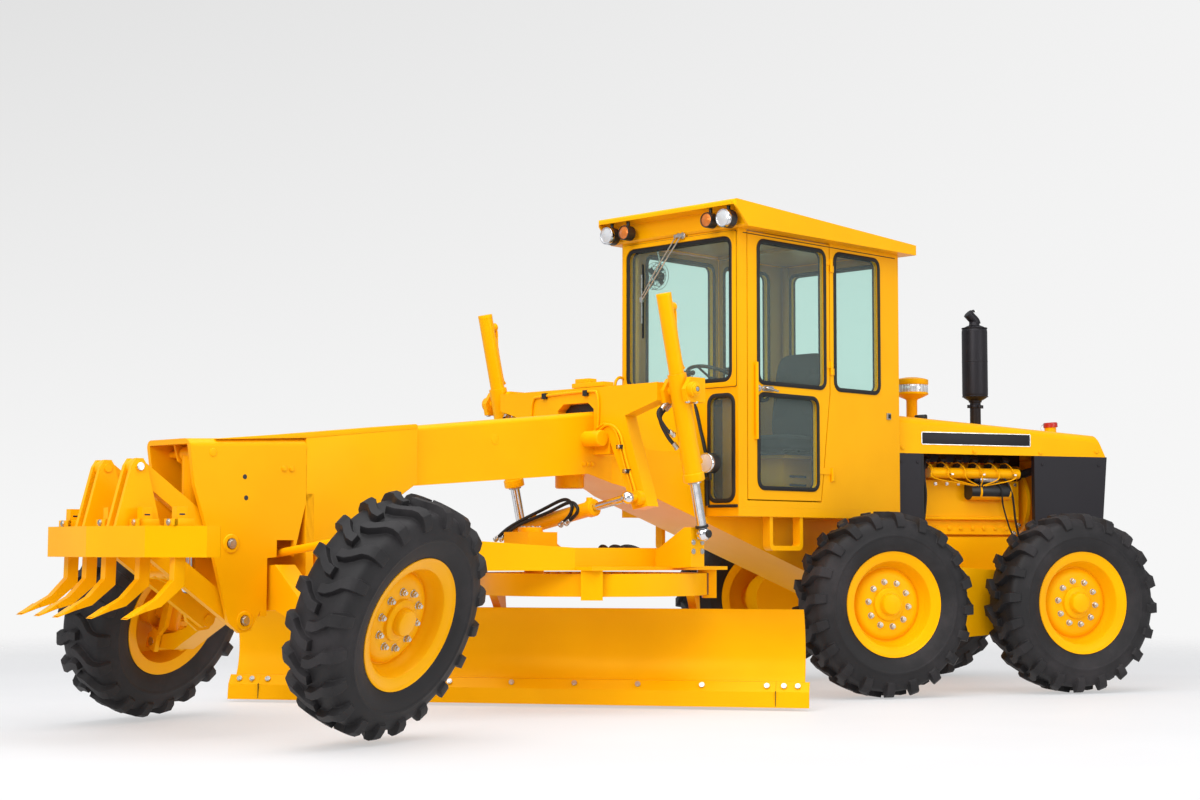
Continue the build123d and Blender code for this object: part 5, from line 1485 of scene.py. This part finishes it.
def make_engine():
    dark, pipes, steel, hoses = new_forms(4)
    for s in sides.values():
        for k in range(6):
            x = -0.475 - 0.132 * k
            out = Vector((0.05, s * 0.62, 0.78)).normalized()
            foot = Vector((x, s * 0.19, 1.565))
            body = [(0, 0.10), (0.026, 0.10), (0.030, 0.092), (0.030, 0.035), (0.024, 0.03), (0.024, 0)]
            dark.lathe(body, foot, out, 20)
            steel.lathe([(0.024, 0), (0.034, 0.002), (0.034, 0.012), (0.024, 0.014)], foot, out, 20)
            line = [
                foot + out * 0.05 + Vector((0.03, 0, 0)),
                (x + 0.035, s * 0.30, 1.605),
                (x + 0.03, s * 0.375, 1.56),
                (x + 0.02, s * 0.385, 1.49),
                (-0.80 - 0.018 * k, s * 0.355, 1.44),
            ]
            pipes.tube(curve(line, 5), 0.0045, 8)
        for x in (-0.60, -0.86, -1.12):
            clip(steel, (x, s * 0.383, 1.520), (-0.010, -0.012, -0.006), (0.010, 0.010, 0.006))
        # thin black sheet down the middle of the engine: painted shade that keeps the bay dark behind the
        # parts
        dark.box((-1.40, min(0.0, s * 0.006), 1.600), (-0.36, max(0.0, s * 0.006), 1.700))
        # joint flange with its bolts, then the sump's
        pipes.tube([(-0.42, s * 0.262, 1.205), (-1.22, s * 0.262, 1.205)], 0.012, 10)
        for k in range(9):
            x = -0.45 - 0.095 * k
            bolt("rear_unit", rear, (x, s * 0.270, 1.135), (0, s, 0), "plug")
            bolt("rear_unit", rear, (x, s * 0.240, 1.455), (0, s, 0), "m12")
        # starter with ribs, and its switch on top
        sleeve = [(0.0, 0.335), (0.050, 0.333), (0.060, 0.325), (0.0645, 0.31), (0.0645, 0.09)]
        sleeve += [(0.060, 0.086), (0.060, 0.074), (0.0645, 0.070), (0.0645, 0.0), (0.0, -0.004)]
        dark.lathe(sleeve, (-0.785, s * 0.290, 1.404), (-1, 0, 0), 40)
        switch = [(0, 0.15), (0.024, 0.15), (0.027, 0.145), (0.027, 0.0), (0.0, 0.0)]
        steel.lathe(switch, (-0.86, s * 0.315, 1.487), (-1, 0, 0), 28)
        dark.lathe([(0, 0.05), (0.020, 0.05), (0.024, 0.0)], (-0.81, s * 0.315, 1.487), (-1, 0, 0), 20)
        for points, radius, segments in engine_hoses:
            hoses.tube(curve([(x, s * y, z) for x, y, z in points], 6), radius, segments)
        plug = [(0, 0.03), (0.010, 0.03), (0.013, 0.026), (0.013, 0.012), (0.018, 0.010), (0.018, 0)]
        for x, z in ((-1.17, 1.10), (-1.21, 1.16)):
            steel.lathe(plug, (x, s * 0.270, z), (0, s, 0), 6)
        for spot, way in (
            ((-1.548, s * 0.20, 1.553), (1, 0, 0.1)),
            ((-1.265, s * 0.155, 1.510), (1, 0, -0.4)),
        ):
            steel.lathe([(0.030, 0), (0.0335, 0.001), (0.0335, 0.014), (0.030, 0.015)], spot, way, 24)
    fin = Form().box((-1.7225, -0.350, 1.09), (-1.7200, -0.347, 1.64))
    fins = repeats.grow("fins", as_mesh("fin", fin), Count=59, Step=(0, 0.012, 0), Coat=dark_steel)
    fins.transform(rear)
    settle("radiator_fins", fins, dark_steel, "rear_unit", 30)
    rung = Form().box((-1.18, -0.115, 1.604), (-1.165, 0.115, 1.618))
    rungs = repeats.grow("rungs", as_mesh("rung", rung), Count=16, Step=(0.046, 0, 0), Coat=yellow)
    rungs.transform(rear)
    settle("cover_ribs", rungs, yellow, "rear_unit", 30)
    dress("engine", "rear_unit", rear, dark=dark, pipes=pipes, steel=steel, hoses=hoses)


def make_hitch():
    """Hoses and pins between the units, and the axle's bolts."""
    hoses, steel, heads = new_forms(3)
    for s in sides.values():
        for k in range(2):
            y = s * (0.13 + 0.045 * k)
            path = [(-0.19, y, 0.96), (-0.10, y * 1.5, 0.99), (-0.02, y * 1.6, 0.95), (0.05, y * 1.25, 0.90)]
            hose(hoses, steel, path, 0.013)
    dress("hitch", "rear_unit", rear, hoses=hoses, steel=steel)
    disc(heads, (0, 0, 1.074), (0, 0, 1), 0.070, 0.012)
    disc(heads, (0, 0, 0.574), (0, 0, -1), 0.070, 0.012)
    dress("hitch_pin", "rear_unit", rear, steel=heads)
    for a in range(6):
        turn = pi / 3 * a
        bolt("rear_unit", rear, (0.050 * cos(turn), 0.050 * sin(turn), 1.086), (0, 0, 1), "m12")
    for name in ("mid_left", "mid_right", "rear_left", "rear_right"):
        place = wheels[name]
        for k in range(8):
            turn = pi / 4 * k
            spot = (nut_circle * cos(turn), -0.2100, nut_circle * sin(turn))
            bolt("rear_unit", place, spot, (0, 1, 0), "plug")


make_stack()
make_hood()
make_engine()
make_hitch()


# ---- bolts gathered so far ----
bolt_sizes = {                # half width of the head, height, sides, washer, finish
    "m16": (0.0125, 0.018, 6, 0.017, zinc, "rod_chrome"),
    "m12": (0.0095, 0.014, 6, 0.013, zinc, "rod_chrome"),
    "m24": (0.0190, 0.028, 6, 0.026, zinc, "rod_chrome"),
    "black": (0.0095, 0.010, 12, 0.013, black, "black_paint"),
    "pin": (0.024, 0.020, 24, 0.030, zinc, "rod_chrome"),
    "plug": (0.0125, 0.016, 6, 0.017, yellow, "yellow_paint"),
}


def make_bolts():
    for (body, size), spots in bolt_spots.items():
        width, height, count, washer, coat, slot = bolt_sizes[size]
        mesh = bpy.data.meshes.new("spots")
        mesh.from_pydata([p for p, _ in spots], [], [])
        facing = mesh.attributes.new("facing", "FLOAT_VECTOR", "POINT")
        facing.data.foreach_set("vector", [c for _, way in spots for c in way])
        values = {"Width": width, "Height": height, "Sides": count, "Washer": washer, "Coat": coat}
        whole = bolting.grow("bolts", mesh, **values)
        piece = settle(f"bolts_{size}_{body}", whole, coat, body, 30)


# ---- floor, light and camera ----
def make_stage():
    ground = Form()
    reach = 60.0
    corners = ((-1, -1), (1, -1), (1, 1), (-1, 1))
    ground.put([(reach * a, reach * b, 0) for a, b in corners], [[0, 1, 2, 3]])
    mesh = as_mesh("floor", ground)
    coat = Finish("studio_floor")
    tone = coat.between(coat.clouds(0.6, 3.0), 0.3, 0.7)
    near = coat.node(
        "BsdfPrincipled",
        Base_Color=coat.blend(tone, colour(0.35, 0.35, 0.36), colour(0.37, 0.37, 0.38)),
        Roughness=0.6,
        Specular_IOR_Level=0.1,
        Emission_Color=colour(1.0, 1.0, 1.0),
        Emission_Strength=0.46,
    )
    reach_out = coat.node("VectorMath", {"operation": "LENGTH"}, out=1, Vector=coat.spot)
    fade = coat.between(reach_out, 5.5, 13.0)
    coat.close(coat.mixed(fade, near, coat.node("BsdfTransparent")))
    mesh.materials.append(coat.material)
    floor = bpy.data.objects.new("floor", mesh)
    bpy.context.scene.collection.objects.link(floor)


def make_world():
    world = bpy.data.worlds.new("studio")
    bpy.context.scene.world = world
    world.use_nodes = True
    tree = world.node_tree
    tree.nodes.clear()

    def node(kind, settings=None, **inputs):
        made_node = tree.nodes.new(kind)
        for key, value in (settings or {}).items():
            setattr(made_node, key, value)
        for key, value in inputs.items():
            join(tree, value, made_node.inputs[key.replace("_", " ")])
        return made_node

    spot = node("ShaderNodeTexCoord")
    parts = node("ShaderNodeSeparateXYZ")
    tree.links.new(spot.outputs["Generated"], parts.inputs[0])
    height = Wire(tree, parts.outputs[2])
    fade = node("ShaderNodeMapRange", Value=height, From_Min=0.0, From_Max=0.32, To_Min=0.0, To_Max=1.0)
    lift = Wire(tree, fade.outputs[0])
    across = Wire(tree, parts.outputs[0])
    seen = 0.93 - lift * (across * 0.29 + 0.225)
    seen_light = node("ShaderNodeBackground", Color=colour(1.0, 1.0, 1.0), Strength=seen)
    soft_light = node("ShaderNodeBackground", Color=colour(0.95, 0.97, 1.0), Strength=0.50)
    ray = node("ShaderNodeLightPath")
    pick = node("ShaderNodeMixShader")
    tree.links.new(ray.outputs["Is Camera Ray"], pick.inputs[0])
    tree.links.new(soft_light.outputs[0], pick.inputs[1])
    tree.links.new(seen_light.outputs[0], pick.inputs[2])
    end = node("ShaderNodeOutputWorld")
    tree.links.new(pick.outputs[0], end.inputs[0])


def lamp(name, spot, aim, width, height, watts):
    """A soft box turned to face its aim."""
    data = bpy.data.lights.new(name, "AREA")
    data.shape = "RECTANGLE"
    data.size = width
    data.size_y = height
    data.energy = watts
    obj = bpy.data.objects.new(name, data)
    bpy.context.scene.collection.objects.link(obj)
    obj.location = spot
    obj.rotation_mode = "QUATERNION"
    obj.rotation_quaternion = (Vector(aim) - Vector(spot)).to_track_quat("-Z", "Y")


def make_camera():
    data = bpy.data.cameras.new("camera")
    data.sensor_width = 36.0
    data.lens = 59.88
    data.clip_end = 200.0
    camera = bpy.data.objects.new("camera", data)
    bpy.context.scene.collection.objects.link(camera)
    heading = radians(-110.46)
    pitch = radians(4.32)
    look = Vector((cos(heading) * cos(pitch), sin(heading) * cos(pitch), sin(pitch)))
    roll = Matrix.Rotation(radians(-0.12), 3, look)
    right = roll @ look.cross(up).normalized()
    turn = Matrix((right, right.cross(look), -look)).transposed()
    camera.matrix_world = Matrix.Translation(rear @ Vector((6.758, 12.892, 0.967))) @ turn.to_4x4()
    bpy.context.scene.camera = camera


make_bolts()
make_stage()
make_world()
lamp("overhead", (1.0, 3.0, 8.5), (0.0, 0.0, 1.0), 12.0, 9.0, 900)
lamp("key", (10.0, 9.0, 6.0), (0.5, 0.0, 1.2), 6.0, 5.0, 720)
lamp("fill", (-7.0, 9.0, 3.5), (-1.0, 0.0, 1.2), 5.0, 4.0, 240)
make_camera()
bpy.context.scene.view_settings.view_transform = "Standard"
